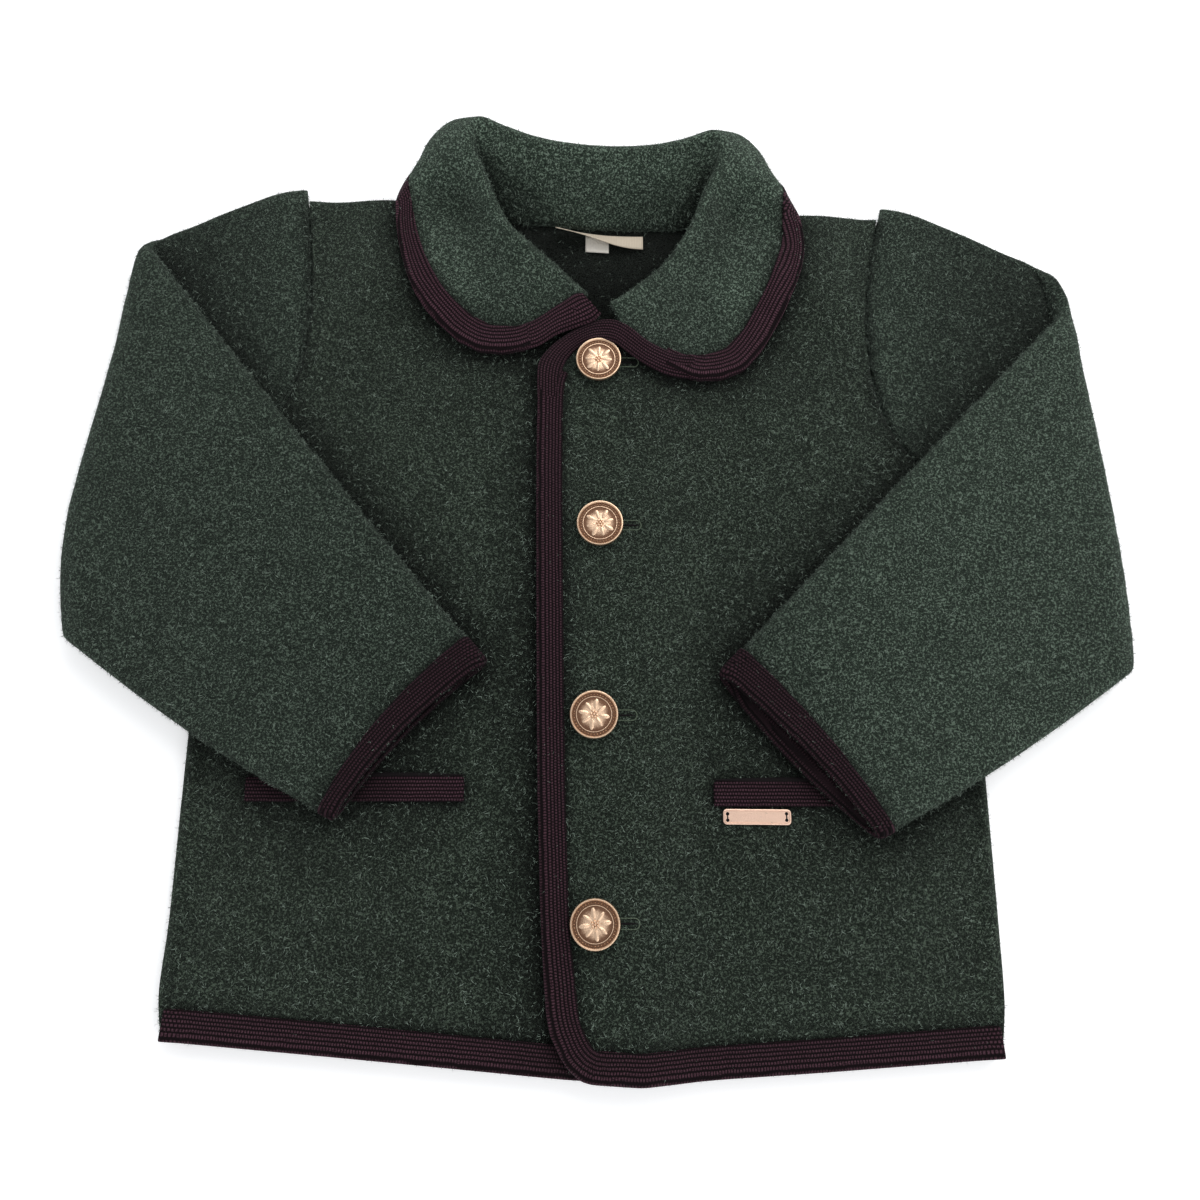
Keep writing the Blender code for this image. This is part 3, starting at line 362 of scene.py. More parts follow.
def knit(name, ground, stitch, rib):
    tree, shader = start_finish(name, 0.88, 0.05, (0.6, 0.42, 0.5, 1.0), gloss=0.12)
    uv = node(tree, "ShaderNodeUVMap", uv_map="along_edge").outputs[0]
    band = node(tree, "ShaderNodeGroup", {
        "UV": uv, "Ground": (*ground, 1.0), "Stitch": (*stitch, 1.0), "Rib mm": rib,
        "Stitch mm": 1.15}, node_tree=knit_group)
    # The braid's colour is multiplied by the painted light and shade stored at each vertex.
    tree.links.new(scaled(tree, band.outputs["Color"], stored(tree, "painted_light_and_shade")), shader.inputs["Base Color"])
    bump(tree, shader, band.outputs["Height"], 0.0006)


def metal(name, shine, hollow):
    tree, shader = start_finish(name, 0.4, metallic=1.0)
    plated = node(tree, "ShaderNodeGroup", {
        "Place": object_place(tree), "Relief": stored(tree, "relief"), "Shine": (*shine, 1.0),
        "Hollow": (*hollow, 1.0)}, node_tree=metal_group)
    tree.links.new(plated.outputs["Color"], shader.inputs["Base Color"])
    tree.links.new(plated.outputs["Roughness"], shader.inputs["Roughness"])
    bump(tree, shader, plated.outputs["Height"], 0.00012)


def woven(name, colour, shade):
    tree, shader = start_finish(name, 0.75, 0.1)
    place = object_place(tree)
    across, down = (
        node(tree, "ShaderNodeTexWave", {"Vector": place, "Scale": scale, "Distortion": 0.6},
             bands_direction=way).outputs["Fac"] for scale, way in ((420.0, "X"), (520.0, "Y")))
    weave = maths(tree, "MULTIPLY", across, down)
    tree.links.new(blend(tree, maths(tree, "MULTIPLY", weave, 0.6), (*colour, 1.0), (*shade, 1.0)),
                   shader.inputs["Base Color"])
    bump(tree, shader, weave, 0.0002)

# %% Mix the finishes
felt("loden", (0.0165, 0.0245, 0.0168), (0.094, 0.127, 0.093), (0.0024, 0.0033, 0.0028))
# A paler copy of the loden: painted light on the raised collar and sleeves.
felt("loden_painted_light", (0.0200, 0.0307, 0.0217), (0.115, 0.157, 0.119), (0.0033, 0.0046, 0.0039))
knit("braid", (0.0042, 0.0016, 0.0024), (0.098, 0.044, 0.060), 1.45)
metal("button_metal", (0.82, 0.58, 0.40), (0.18, 0.095, 0.058))
metal("plate_metal", (0.82, 0.57, 0.44), (0.22, 0.10, 0.07))
woven("label_woven", (0.62, 0.53, 0.41), (0.45, 0.37, 0.27))
woven("label_white", (0.84, 0.79, 0.70), (0.70, 0.65, 0.57))
print("finishes:", ", ".join(finishes))

# %% [markdown]
# ## From a solid to soft cloth
#
# A solid of the frame is a closed shell of loose triangles. A soft piece needs even quads, since
# Catmull-Clark subdivision rounds quads well and triangles badly. So each solid is copied, its
# doubles are merged, its triangles are joined in pairs, and long edges are cut. Cut edges of
# felt are never sharp, which a part crease keeps nearly in place while it rounds them off.

# %% Copy, even out and round a solid
def quads_of(name):
    """A merged copy of a solid, with its triangles joined into quads."""
    bm = bmesh.new()
    bm.from_mesh(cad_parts[name].data)
    bmesh.ops.remove_doubles(bm, verts=bm.verts, dist=0.00001)
    bmesh.ops.join_triangles(bm, faces=bm.faces, angle_face_threshold=radians(60),
                             angle_shape_threshold=radians(100))
    return bm


def even_out(bm, limit):
    """Cut edges in two until none is longer than the limit, in millimetres."""
    for _ in range(6):
        long = [edge for edge in bm.edges if edge.calc_length() > limit * MM]
        if not long:
            break
        bmesh.ops.subdivide_edges(bm, edges=long, cuts=1, use_grid_fill=True)


def crease_sharp(bm, amount, angle=50.0):
    """Mark the edges that subdivision keeps in place, by how sharply their faces meet."""
    layer = bm.edges.layers.float.new("crease_edge")
    for edge in bm.edges:
        if len(edge.link_faces) == 2 and edge.calc_face_angle(0.0) > radians(angle):
            edge[layer] = amount


# %% Hang a piece on the jacket
def dress(name, mesh, finish):
    """An object of a finished mesh, which rides on the jacket."""
    mesh.materials.append(finishes[finish])
    piece = bpy.data.objects.new(name, mesh)
    scene.collection.objects.link(piece)
    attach(piece, "root")
    return piece


def add_piece(name, bm, finish):
    mesh = bpy.data.meshes.new(name)
    bm.to_mesh(mesh)
    bm.free()
    mesh.shade_smooth()
    return dress(name, mesh, finish)


def rounded(piece, levels, wall=0.0):
    """Apply Catmull-Clark subdivision and a wall, so that later steps can move fine vertices."""
    smooth = piece.modifiers.new("round", "SUBSURF")
    smooth.levels = smooth.render_levels = levels
    if wall:
        thick = piece.modifiers.new("wall", "SOLIDIFY")
        thick.thickness = wall * MM
        thick.offset = -1.0
    bpy.context.view_layer.update()
    mesh = bpy.data.meshes.new_from_object(piece.evaluated_get(bpy.context.evaluated_depsgraph_get()))
    piece.modifiers.clear()
    piece.data = mesh
    mesh.shade_smooth()
    return piece


# %% Make cloth of a solid
def keep_skin(bm, angle=60.0):
    """Keep the largest patch that sharp edges bound: a tube without its end and its lining."""
    left, best = set(bm.faces), []
    while left:
        patch = [left.pop()]
        for face in patch:
            for edge in face.edges:
                if edge.calc_face_angle(0.0) < radians(angle):
                    found = [other for other in edge.link_faces if other in left]
                    left.difference_update(found)
                    patch.extend(found)
        best = max(best, patch, key=len)
    skin = set(best)
    bmesh.ops.delete(bm, geom=[face for face in bm.faces if face not in skin], context="FACES")


def soft_copy(name, node_name, finish, limit, levels, crease, wall=0.0):
    """A piece of cloth that stands for a solid; with a wall, it is open at its ends."""
    bm = quads_of(node_name)
    if wall:
        keep_skin(bm)
    even_out(bm, limit)
    crease_sharp(bm, crease)
    piece = add_piece(name, bm, finish)
    rounded(piece, levels, wall)
    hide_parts(node_name)
    print(name, "faces:", len(piece.data.polygons))
    return piece


# %% [markdown]
# ## How the cloth lies
#
# Thick felt doesn't crease sharply. It rolls in long, low swells a few centimetres apart, and
# there are only a few of them. Each is a line with a width and a height, and a vertex takes
# the sum of all swells near it. Everything that lies on a front reads the same swells, so
# the braid, the buttons and the welts stay in touch with the cloth. Fine noise under
# a millimetre adds the dents of handling.

# %% Swells of the fronts and of the sleeves
FRONT_SWELLS = (        # x, y of both ends, half width, height, in millimetres
    (-60, 85, -118, 20, 16, 0.55),
    (-120, 150, -85, 110, 14, 0.5),
    (-140, -30, -60, -75, 18, 0.5),
    (-150, -140, -60, -128, 22, 0.6),
    (-60, -110, -35, -178, 15, 0.45),
    (35, 60, 48, -40, 14, 0.6),
    (100, 120, 70, 70, 15, 0.55),
    (60, -60, 140, -80, 18, 0.5),
    (40, -150, 120, -135, 20, 0.7),
    (110, -170, 150, -110, 16, 0.5),
)
SLEEVE_SWELLS = (
    (-200, 90, -110, 10, 15, 0.7),
    (-215, 30, -130, -20, 17, 0.9),
    (-205, -15, -120, -62, 13, -0.6),
    (-120, -10, -95, -60, 15, 0.5),
    (-165, 130, -140, 90, 12, -0.8),
    (200, 70, 120, 0, 15, 0.8),
    (212, 15, 130, -40, 16, 0.9),
    (190, -35, 120, -75, 12, -0.6),
    (115, -10, 95, -60, 15, 0.5),
    (160, 125, 145, 85, 12, -0.8),
)


# %% Raise and dent the cloth
def swell_height(swells, x, y):
    """The sum of all swells at each place, and a little noise, in millimetres."""
    total = np.zeros_like(x)
    for x0, y0, x1, y1, width, rise in swells:
        dx, dy = x1 - x0, y1 - y0
        share = ((x - x0) * dx + (y - y0) * dy) / (dx * dx + dy * dy)
        past = np.maximum(np.maximum(-share, share - 1.0), 0.0)
        share = np.clip(share, 0.0, 1.0)
        off = (x - x0 - share * dx) ** 2 + (y - y0 - share * dy) ** 2
        total += rise * np.exp(-off / (width * width) - past)
    dents = [noise.noise(Vector((a, b, 0.0)) / 17.0) for a, b in zip(x, y)]
    return total + 0.25 * np.array(dents)


def step(low, high, value):
    """0 below low, 1 above high, and a smooth step between them."""
    share = np.clip((value - low) / (high - low), 0.0, 1.0)
    return share * share * (3.0 - 2.0 * share)


def on_front(x, y, z):
    """How far the fronts and what lies on them rise at a place: not at the hem or the neck."""
    fade = step(-196.0, -165.0, y) * step(-166.0, -145.0, x) * step(-160.0, -140.0, -x)
    return np.maximum(swell_height(FRONT_SWELLS, x, y), -0.3) * fade * (1.0 - step(95.0, 120.0, y))


def lift_at(x, y):
    """The rise of the fronts at one place, in millimetres."""
    return on_front(np.array([x]), np.array([y]), 0)[0]


def vertex_array(piece, what="co", width=3):
    values = np.empty(len(piece.data.vertices) * width)
    piece.data.vertices.foreach_get(what, values)
    return values.reshape(-1, width)


def place_vertices(piece, places):
    piece.data.vertices.foreach_set("co", places.ravel())
    piece.data.update()


def shift(piece, rise):
    """Move each vertex up by a height that depends on its place, in millimetres."""
    places = vertex_array(piece)
    places[:, 2] += rise(*(places.T / MM)) * MM
    place_vertices(piece, places)


# %% [markdown]
# ## Back and fronts
#
# The body is three panels. The back lies face down on the floor, both fronts lie on it, and the
# wearer's left one laps over the right. Their side seams are rolled, so that no cut edge shows
# there. The solids already hold the roll, and the swells do the rest.

# %% Make the three body panels
back = soft_copy("back_panel", "back", "loden", 9.0, 1, 0.8)
front_right = soft_copy("right_front", "front_right", "loden", 10.0, 2, 0.7)
front_left = soft_copy("left_front", "front_left", "loden", 9.0, 2, 0.7)
for panel in (front_right, front_left):
    shift(panel, on_front)

# %% [markdown]
# ## Sleeves
#
# Each sleeve is a tube. It leaves the armhole beside the body, folds over at its outer edge and
# comes back across the front. Its layers touch, so the whole is one soft roll, open only at the
# cuff. Only the skin of the solid is kept, and it gets a wall of its own, so the cuff is a real
# opening. The swells act on the folded-over part alone. Felt can't hold a point, so the top of
# each fold and the tip of each sleeve head are smoothed again and again.

# %% Round the points of folded felt
CORNERS = {       # x, y, z and radius of a place in millimetres, and how often it is smoothed
    "right": ((-203.0, 152.0, 8.0, 30.0, 20), (-132.0, 184.0, 5.0, 9.0, 10)),
    "left": ((209.0, 138.0, 8.0, 30.0, 20), (133.0, 175.0, 5.0, 9.0, 10)),
    "collar": ((-60.0, 206.0, 20.0, 26.0, 14), (62.0, 200.0, 20.0, 26.0, 14)),
}


def round_places(piece, places):
    """Smooth the mesh of a piece near each of the places again and again."""
    bm = bmesh.new()
    bm.from_mesh(piece.data)
    for x, y, z, radius, times in places:
        near = [v for v in bm.verts if (v.co / MM - Vector((x, y, z))).length < radius]
        for _ in range(times):
            bmesh.ops.smooth_vert(bm, verts=near, factor=0.5, use_axis_x=True, use_axis_y=True,
                                  use_axis_z=True)
    bm.to_mesh(piece.data)
    bm.free()

# %% Make both sleeves
def on_sleeve(x, y, z):
    return swell_height(SLEEVE_SWELLS, x, y) * step(9.0, 17.0, z)


sleeves = []
for side in ("right", "left"):
    sleeve = soft_copy(side + "_sleeve", "sleeve_" + side, "loden_painted_light", 10.0, 2, 0.6, wall=2.3)
    shift(sleeve, on_sleeve)
    round_places(sleeve, CORNERS[side])
    sleeves.append(sleeve)

# %% [markdown]
# ## Collar
#
# The collar is a stand and a fall in one piece. It rises from the neck seam, rolls over along a
# soft fold and comes down over the fronts. Behind the neck the fall turns under the back. The roll
# must stay round, so its edges get only a weak crease and the subdivision does the rest.

# %% Make the collar
collar = soft_copy("turned_collar", "collar", "loden_painted_light", 8.0, 2, 0.35)
round_places(collar, CORNERS["collar"])

# %% [markdown]
# ## Braid
#
# The braid is folded over the cloth's edge, so it has a lip on either side of it. Its ribs have
# to run along that edge. Each vertex finds the nearest point of the edge's line: the length along
# the line is its U, and its distance from the line is its V. That works for a straight hem
# and for a round corner alike, whatever the mesh looks like.

# %% Write a UV map that follows an edge
def along_edge(piece, line, narrow=None):
    """Fill a UV map from a line of points in millimetres: U along it, V away from it.

    narrow gives, at a place, the share of its distance that a vertex keeps from the line."""
    points = vertex_array(piece) / MM
    start = np.array(line[:-1])
    run = np.array(line[1:]) - start
    length = np.linalg.norm(run, axis=1)
    begins = np.concatenate(([0.0], np.cumsum(length)[:-1]))
    nearest, u = np.full(len(points), 1e9), np.zeros(len(points))
    on_line = points.copy()
    for a, r, l, begin in zip(start, run, length, begins):
        share = np.clip((points - a) @ r / (l * l), 0.0, 1.0)
        off = np.linalg.norm(points - a - share[:, None] * r, axis=1)
        closer = off < nearest
        nearest[closer], u[closer] = off[closer], (begin + share * l)[closer]
        on_line[closer] = (a + share[:, None] * r)[closer]
    if narrow:
        place_vertices(piece, (on_line + (points - on_line) * narrow(*points.T)[:, None]) * MM)
    layer = piece.data.uv_layers.new(name="along_edge")
    corners = np.empty(len(piece.data.loops), dtype=np.int64)
    piece.data.loops.foreach_get("vertex_index", corners)
    layer.data.foreach_set("uv", (np.stack((u, nearest), axis=1)[corners] / 10.0).ravel())


def curved(points, steps=4):
    """More points on a smooth curve through the given ones, so that U and V turn smoothly."""
    points = [np.array(p) for p in points]
    line = []
    for k in range(len(points) - 1):
        a, b = points[k], points[k + 1]
        before = points[k - 1] if k else 2 * a - b
        after = points[k + 2] if k + 2 < len(points) else 2 * b - a
        for n in range(steps):
            t = n / steps
            line.append(0.5 * (2 * a + (b - before) * t + (2 * before - 5 * a + 4 * b - after) * t * t
                               + (3 * a - before - 3 * b + after) * t ** 3))
    return line + [points[-1]]


# %% [markdown]
# ## Where the edges run
#
# Each line is a handful of points along a finished edge, half way through the thickness of the
# cloth: down the front and round its corner to the side, round the collar, and round each cuff.
# A smooth curve through them is enough for the pattern, and saves measuring it on a mesh. Above
# the first button the braid of the left front crosses that of the collar. There both are cut
# away, and a plump strip is swept between two lines, so that each lies clear of the other.

# %% The lines of the bound edges, in millimetres
LEFT_EDGE = (
    (3.1, 108.2, 11), (-8, 105, 10.6), (-16.8, 97.5, 10.2), (-21.4, 87.5, 10.2),
    (-22.6, 76, 9.8), (-22.8, 60, 9), (-22.7, 35, 9), (-22.1, -5, 9),
    (-21.4, -50, 9), (-20.4, -95, 9), (-18.8, -138, 9), (-17.9, -151.9, 9),
    (-16.8, -165.7, 10.8), (-15.8, -176, 12.5), (-12.8, -186, 12.6), (-7.5, -195, 12.6),
    (1, -200, 12.6), (13.6, -200.8, 12.6), (23.2, -201, 12.1), (32.7, -200.4, 10.2),
    (42.2, -199.8, 8.2), (51.8, -199.2, 7.5), (70.8, -198, 7.5), (99.4, -196.1, 7.5),
    (128, -194.1, 7.5), (156.6, -192, 7.5),
)
RIGHT_EDGE = (
    (-4.4, 111.1, 6.4), (2.8, 104.8, 5.5), (10.4, 95.6, 5.1), (14.8, 83.3, 5.1), (16.7, 68.7, 5.1),
    (17.1, 49, 5.1), (17, -5, 5.1), (17, -95, 5.1), (17, -138, 5.1),
    (17.1, -152.4, 5.1), (17.1, -167, 6.2), (17, -178, 7.4), (15.6, -190, 7.5),
    (5.9, -199.6, 7.5), (-10, -199.3, 7.5), (-31.7, -197.3, 7.5), (-62.1, -194.6, 7.5),
    (-112.7, -190.2, 7.5), (-163.4, -185.8, 7.5),
)
BACK_EDGE = (
    (-163.4, -185.8, 2.4), (-90, -192.1, 2.4), (-10, -199.3, 2.4), (20, -201.2, 2.4),
    (90, -196.8, 2.4), (156.6, -192, 2.4),
)
COLLAR_EDGE = (
    (-7.2, 112.7, 12.8), (-19, 107.1, 10.7), (-28.1, 101.7, 10.1), (-38.5, 99.9, 9.9),
    (-49.4, 100.8, 10), (-58.6, 105.5, 10.5), (-66.6, 112.6, 11.5), (-77.7, 126.4, 14.2),
    (-85.1, 147.8, 15.3), (-87, 159.3, 16.1), (-87, 169.7, 16.4), (-85, 179.8, 9.8),
    (-77, 184, 4.1), (-70.1, 182.7, 2.6), (-60.8, 175.6, 2.6), (-49.8, 163.4, 2.6),
    (-37.4, 152.9, 2.6), (-15.3, 144.7, 2.6), (8.5, 141.8, 2.5), (30.4, 143.9, 2.6), (41.3, 147.1, 2.5),
    (52.8, 155.3, 2.6), (65.4, 169.8, 2.6), (73.9, 176.6, 2.6), (80.5, 177.2, 4.2), (88.8, 172.7, 9.9),
    (92.2, 163.3, 16.6), (94.3, 156.1, 16.2), (95, 146, 15.3), (90.6, 129.8, 14.6),
    (80.8, 110.2, 11), (74.6, 99.9, 10.2), (67, 91.4, 9.9), (56.9, 87.4, 9.9), (45.8, 86.9, 10.2),
    (34.6, 90.4, 12.9), (25, 95.4, 15.4), (17.3, 100.4, 16.3),
)
CUFF_HEIGHTS = (
    11.9, 9.2, 9.2, 9.5, 10.4, 11, 11, 11, 16, 16.4, 16.4, 15.8, 14.9, 14.6, 14.6, 14.6, 11.9,
)
RIGHT_CUFF = (
    (-43.7, -39.9), (-54.9, -49.2), (-61.8, -55.5), (-68.6, -62.1), (-75, -68.9), (-85.1, -80.4),
    (-93, -90.5), (-98.5, -98.2), (-100.4, -100.7), (-93.6, -90), (-86.1, -79.7), (-76.1, -67.9),
    (-69.5, -61.1), (-62.6, -54.7), (-55.4, -48.6), (-47.1, -42.3), (-43.7, -39.9),
)
LEFT_CUFF = (
    (53.9, -45), (62.7, -57.2), (68.7, -64.9), (74.9, -72.4), (81.4, -79.7), (92.5, -91.2),
    (102.2, -100.3), (109.6, -106.7), (112.8, -108.2), (105.1, -97.6), (96.9, -87.1), (86.4, -75.1),
    (79.7, -68), (72.7, -61.2), (65.6, -54.5), (57.3, -47.4), (53.9, -45),
)
RIGHT_CUFF, LEFT_CUFF = ([(x, y, z) for (x, y), z in zip(cuff, CUFF_HEIGHTS)]
                         for cuff in (RIGHT_CUFF, LEFT_CUFF))
print("edge lines:", len(LEFT_EDGE), len(RIGHT_EDGE), len(BACK_EDGE), len(COLLAR_EDGE), len(LEFT_CUFF))

# %% The free ends of the braid
FREE_ENDS = {      # piece: the box it is cut away in, then both sides of the run that is laid over it
    "left_front_braid": (
        (-40, 40, 88.5, 130),
        ((-23.5, 77.6, 12.1), (-23.6, 87.7, 12.8), (-22.6, 94.8, 12.8), (-17.6, 101.4, 13),
         (-10.6, 107, 13.3), (-2.6, 111.1, 14.6), (4.4, 112.1, 16.7), (11.4, 110.5, 18.9),
         (17.5, 106.4, 19.9), (23.6, 101.4, 19.3), (30.2, 98.3, 17.7), (36.8, 96.4, 16),
         (45.9, 96.4, 13.7)),
        ((-13.2, 77.6, 12.1), (-12.9, 87.7, 12.8), (-11, 93.8, 12.8), (-7, 99, 13),
         (-3.1, 101.6, 13.4), (0.5, 102.3, 15), (5.8, 102.3, 15.9), (10.6, 100.3, 17),
         (15.8, 95.9, 17.2), (21.4, 92.1, 16.4), (27.6, 88.8, 15.4), (35.5, 86.2, 14),
         (45.8, 85.4, 11.9))),
    "collar_edge_braid": (
        (12, 33.5, 80, 112),
        ((-35.7, 98.9, 11.2), (-23.8, 101.2, 12.9), (-14.5, 106.4, 13.9), (-5.3, 109.2, 15.4),
         (1.4, 111.3, 16.9), (4.4, 114.1, 17.9)),
        ((-38.1, 111, 12.2), (-26.5, 112.8, 14.2), (-16.8, 118.2, 16.1), (-11, 121.6, 17.4),
         (-7.5, 123.5, 18.4), (-3.9, 123.6, 19))),
}


# %% Lay a free end over another
def cut_away(piece, low_x, high_x, low_y, high_y):
    """Remove the faces of a piece inside a box, in millimetres."""
    bm = bmesh.new()
    bm.from_mesh(piece.data)
    centres = [(face, face.calc_center_median() / MM) for face in bm.faces]
    gone = [face for face, c in centres if low_x < c.x < high_x and low_y < c.y < high_y]
    bmesh.ops.delete(bm, geom=gone, context="FACES")
    bm.to_mesh(piece.data)
    bm.free()


def add_run(piece, sides, wide=11.5, thick=2.2, face_steps=19, around=25):
    """Sweep a plump strip between two lines, with its own U and V, and make it part of a piece."""
    outer, inner = (np.array(curved(line, 6)) for line in sides)
    middle = (outer + inner) / 2.0
    up = np.cross(inner - outer, np.gradient(middle, axis=0))
    up *= np.sign(up[:, 2:]) / np.linalg.norm(up, axis=1)[:, None]
    u = np.concatenate(([0.0], np.cumsum(np.linalg.norm(np.diff(middle, axis=0), axis=1))))
    back_steps = around - face_steps
    share = np.concatenate((np.linspace(0.0, 1.0, face_steps), np.linspace(0.95, 0.05, back_steps)))
    high = np.where(np.arange(around) < face_steps, -1.2 * np.abs(2.0 * share - 1.0) ** 6, -thick)
    bm = bmesh.new()
    bm.from_mesh(piece.data)
    layer = bm.loops.layers.uv["along_edge"]
    rings = [([bm.verts.new((a + (b - a) * t + n * h) * MM) for t, h in zip(share, high)], along)
             for a, b, n, along in zip(outer, inner, up, u)]
    for (ring, start), (other, end) in zip(rings, rings[1:]):
        for k in range(around):
            m = (k + 1) % around
            face = bm.faces.new((ring[k], ring[m], other[m], other[k]))
            face.smooth = True
            for loop, (along, n) in zip(face.loops, ((start, k), (start, m), (end, m), (end, k))):
                loop[layer].uv = (along / 10.0, share[n] * wide / 10.0)
    for ring, along in (rings[0], rings[-1]):
        for loop, t in zip(bm.faces.new(ring).loops, share):
            loop[layer].uv = (along / 10.0, t * wide / 10.0)
    bmesh.ops.recalc_face_normals(bm, faces=bm.faces)
    bm.to_mesh(piece.data)
    bm.free()

# %% Draw the braid narrower or wider
def collar_narrow(x, y, z):
    """At its sides the collar rolls under, which leaves less of its braid in sight."""
    left = step(82.0, 90.0, x) * step(100.0, 135.0, y)
    right = step(68.0, 80.0, -x) * step(110.0, 140.0, y)
    return 1.0 - 0.42 * left - 0.3 * right


def front_narrow(x, y, z):
    """Down the front the braid is pulled tight, so it is a little narrower than at the hem."""
    return 1.0 - 0.09 * step(-175.0, -140.0, y) * step(-10.0, 0.0, -x)


def cuff_narrow(x, y, z):
    """At a cuff more of the braid lies inside than outside."""
    return np.full_like(x, 0.88)


def to_sides(piece, right_end=-157.0, left_end=150.0, hem_top=-170.0):
    """Draw the ends of the hem braid out over the rolled sides, so that they close the corners."""
    places = vertex_array(piece)
    x, y, _ = places.T / MM
    outward = 0.4 * np.maximum(x - left_end, 0.0) + 0.35 * np.minimum(x - right_end, 0.0)
    places[:, 0] += np.where(y < hem_top, outward, 0.0) * MM
    place_vertices(piece, places)


NARROWS = {"collar_edge_braid": collar_narrow, "left_front_braid": front_narrow,
           "right_cuff_braid": cuff_narrow, "left_cuff_braid": cuff_narrow}

# %% Make the braid on every edge
BRAIDS = {       # node: piece, line of its edge, whether it lies on a front, what it rests on
    "braid_back": ("back_hem_braid", BACK_EDGE, False, "back_panel"),
    "braid_front_right": ("right_front_braid", RIGHT_EDGE, True, "right_front"),
    "braid_front_left": ("left_front_braid", LEFT_EDGE, True, "left_front"),
    "collar_braid": ("collar_edge_braid", COLLAR_EDGE, False, "turned_collar"),
    "cuff_braid_right": ("right_cuff_braid", RIGHT_CUFF, False, "right_sleeve"),
    "cuff_braid_left": ("left_cuff_braid", LEFT_CUFF, False, "left_sleeve"),
}
braids = {}
for node_name, (name, edge, lies_on_front, on) in BRAIDS.items():
    braid = soft_copy(name, node_name, "braid", 4.0, 1, 0.3)
    line = curved(edge)
    along_edge(braid, line, NARROWS.get(name))
    to_sides(braid)
    if lies_on_front:
        shift(braid, on_front)
    if name in FREE_ENDS:
        box, *sides = FREE_ENDS[name]
        cut_away(braid, *box)
        add_run(braid, sides)
    braids[name] = braid

# %% [markdown]
# ## Pocket welts
#
# Each pocket is a slit in the front with a strip of the same braid along its lower lip. The strip
# is folded, so it is plump, and its ribs run along it. The slit above it is a dark bead, painted shadow.

# %% Make the two welts
def box_of(name):
    """Both corners and the middle of a solid's box, in millimetres."""
    low, high = (Vector(corner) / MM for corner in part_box(name))
    return low, high, (low + high) / 2.0


welts = []
for side in ("right", "left"):
    low, high, _ = box_of("pocket_welt_" + side)
    welt = soft_copy("welt_" + side, "pocket_welt_" + side, "braid", 2.6, 2, 0.15)
    along_edge(welt, [np.array((low.x, high.y, high.z)), np.array((high.x, high.y, high.z))])
    shift(welt, on_front)
    welts.append(welt)

# %% [markdown]
# ## Buttons
#
# A cast shank button is a turned disc with a raised rim. Inside the rim runs a ring of dots, then
# a fine raised ring, and then the picture, which is an edelweiss here, the common flower of such
# buttons: eight furry petals round a cluster of small heads. A spin makes the disc, and squashed
# spheres make petals and dots, as their lower halves sink into the face.

# %% A turned disc and a bead
BUTTON_OUTLINE = (      # radius and height in millimetres, from the middle of the face to the shank
    (0.0, 3.55), (3.0, 3.5), (6.2, 3.25), (6.9, 3.2), (7.05, 3.5), (7.3, 3.5), (7.45, 3.15),
    (8.75, 3.15), (9.0, 3.75), (9.35, 4.0), (9.7, 3.95), (9.95, 3.5), (10.0, 2.9), (9.9, 2.5),
    (9.3, 2.1), (8.2, 1.9), (2.2, 1.6), (2.2, 0.3), (0.0, 0.3),
)


def turned(bm, outline, steps):
    """Spin a line of radius and height round the Z axis."""
    verts = [bm.verts.new((radius * MM, 0.0, height * MM)) for radius, height in outline]
    edges = [bm.edges.new(pair) for pair in zip(verts, verts[1:])]
    bmesh.ops.spin(bm, geom=verts + edges, cent=(0, 0, 0), axis=(0, 0, 1), angle=2.0 * pi,
                   steps=steps, use_merge=True)
    bmesh.ops.remove_doubles(bm, verts=bm.verts, dist=0.000001)
    bmesh.ops.recalc_face_normals(bm, faces=bm.faces)


def bead(bm, x, y, z, size, turn=0.0, round_steps=0):
    """A squashed sphere in millimetres; size is its half length, half width and half height."""
    if round_steps:
        made = bmesh.ops.create_uvsphere(bm, u_segments=round_steps, v_segments=round_steps // 2,
                                         radius=1.0)
    else:
        made = bmesh.ops.create_icosphere(bm, subdivisions=1, radius=1.0)
    place = (Matrix.Translation(Vector((x, y, z)) * MM) @ Matrix.Rotation(turn, 4, "Z")
             @ Matrix.Diagonal((*(Vector(size) * MM), 1.0)))
    bmesh.ops.transform(bm, matrix=place, verts=made["verts"])


def ring_of(count, radius, turn=0.0):
    """Places evenly round a ring, each with its angle."""
    angles = [turn + 2.0 * pi * k / count for k in range(count)]
    return [(radius * cos(angle), radius * sin(angle), angle) for angle in angles]

# %% Set the edelweiss on a button
def edelweiss_button(name, centre, base, turn):
    """A button whose face is 4 mm above the cloth at its base."""
    bm = bmesh.new()
    turned(bm, BUTTON_OUTLINE, 48)
    for x, y, _ in ring_of(40, 8.1):
        bead(bm, x, y, 3.2, (0.36, 0.36, 0.42))
    for k in range(8):
        reach, width = ((4.2, 1.05), (3.6, 0.9))[k % 2]
        x, y, angle = ring_of(8, reach, turn)[k]
        bead(bm, x, y, 3.33, (2.4, width, 0.48), angle, 10)
        x, y, angle = ring_of(8, reach - 0.4, turn)[k]
        bead(bm, x, y, 3.5, (1.9, 0.24, 0.4), angle, 8)
    for x, y, _ in [(0.0, 0.0, 0.0)] + ring_of(6, 1.15, turn):
        bead(bm, x, y, 3.85, (0.55, 0.55, 0.5), 0.0, 8)
    relief = bm.verts.layers.float.new("relief")
    for vert in bm.verts:
        vert[relief] = min(max((vert.co.z / MM - 3.2) / 0.6, 0.0), 1.0)
    tilt = Matrix.Rotation(radians(1.2) * sin(turn * 7.0), 4, "X")
    place = Matrix.Translation(Vector((centre.x, centre.y, base)) * MM)
    bmesh.ops.transform(bm, matrix=place @ tilt, verts=bm.verts)
    piece = add_piece(name, bm, "button_metal")
    piece.data.set_sharp_from_angle(angle=radians(40))
    return piece


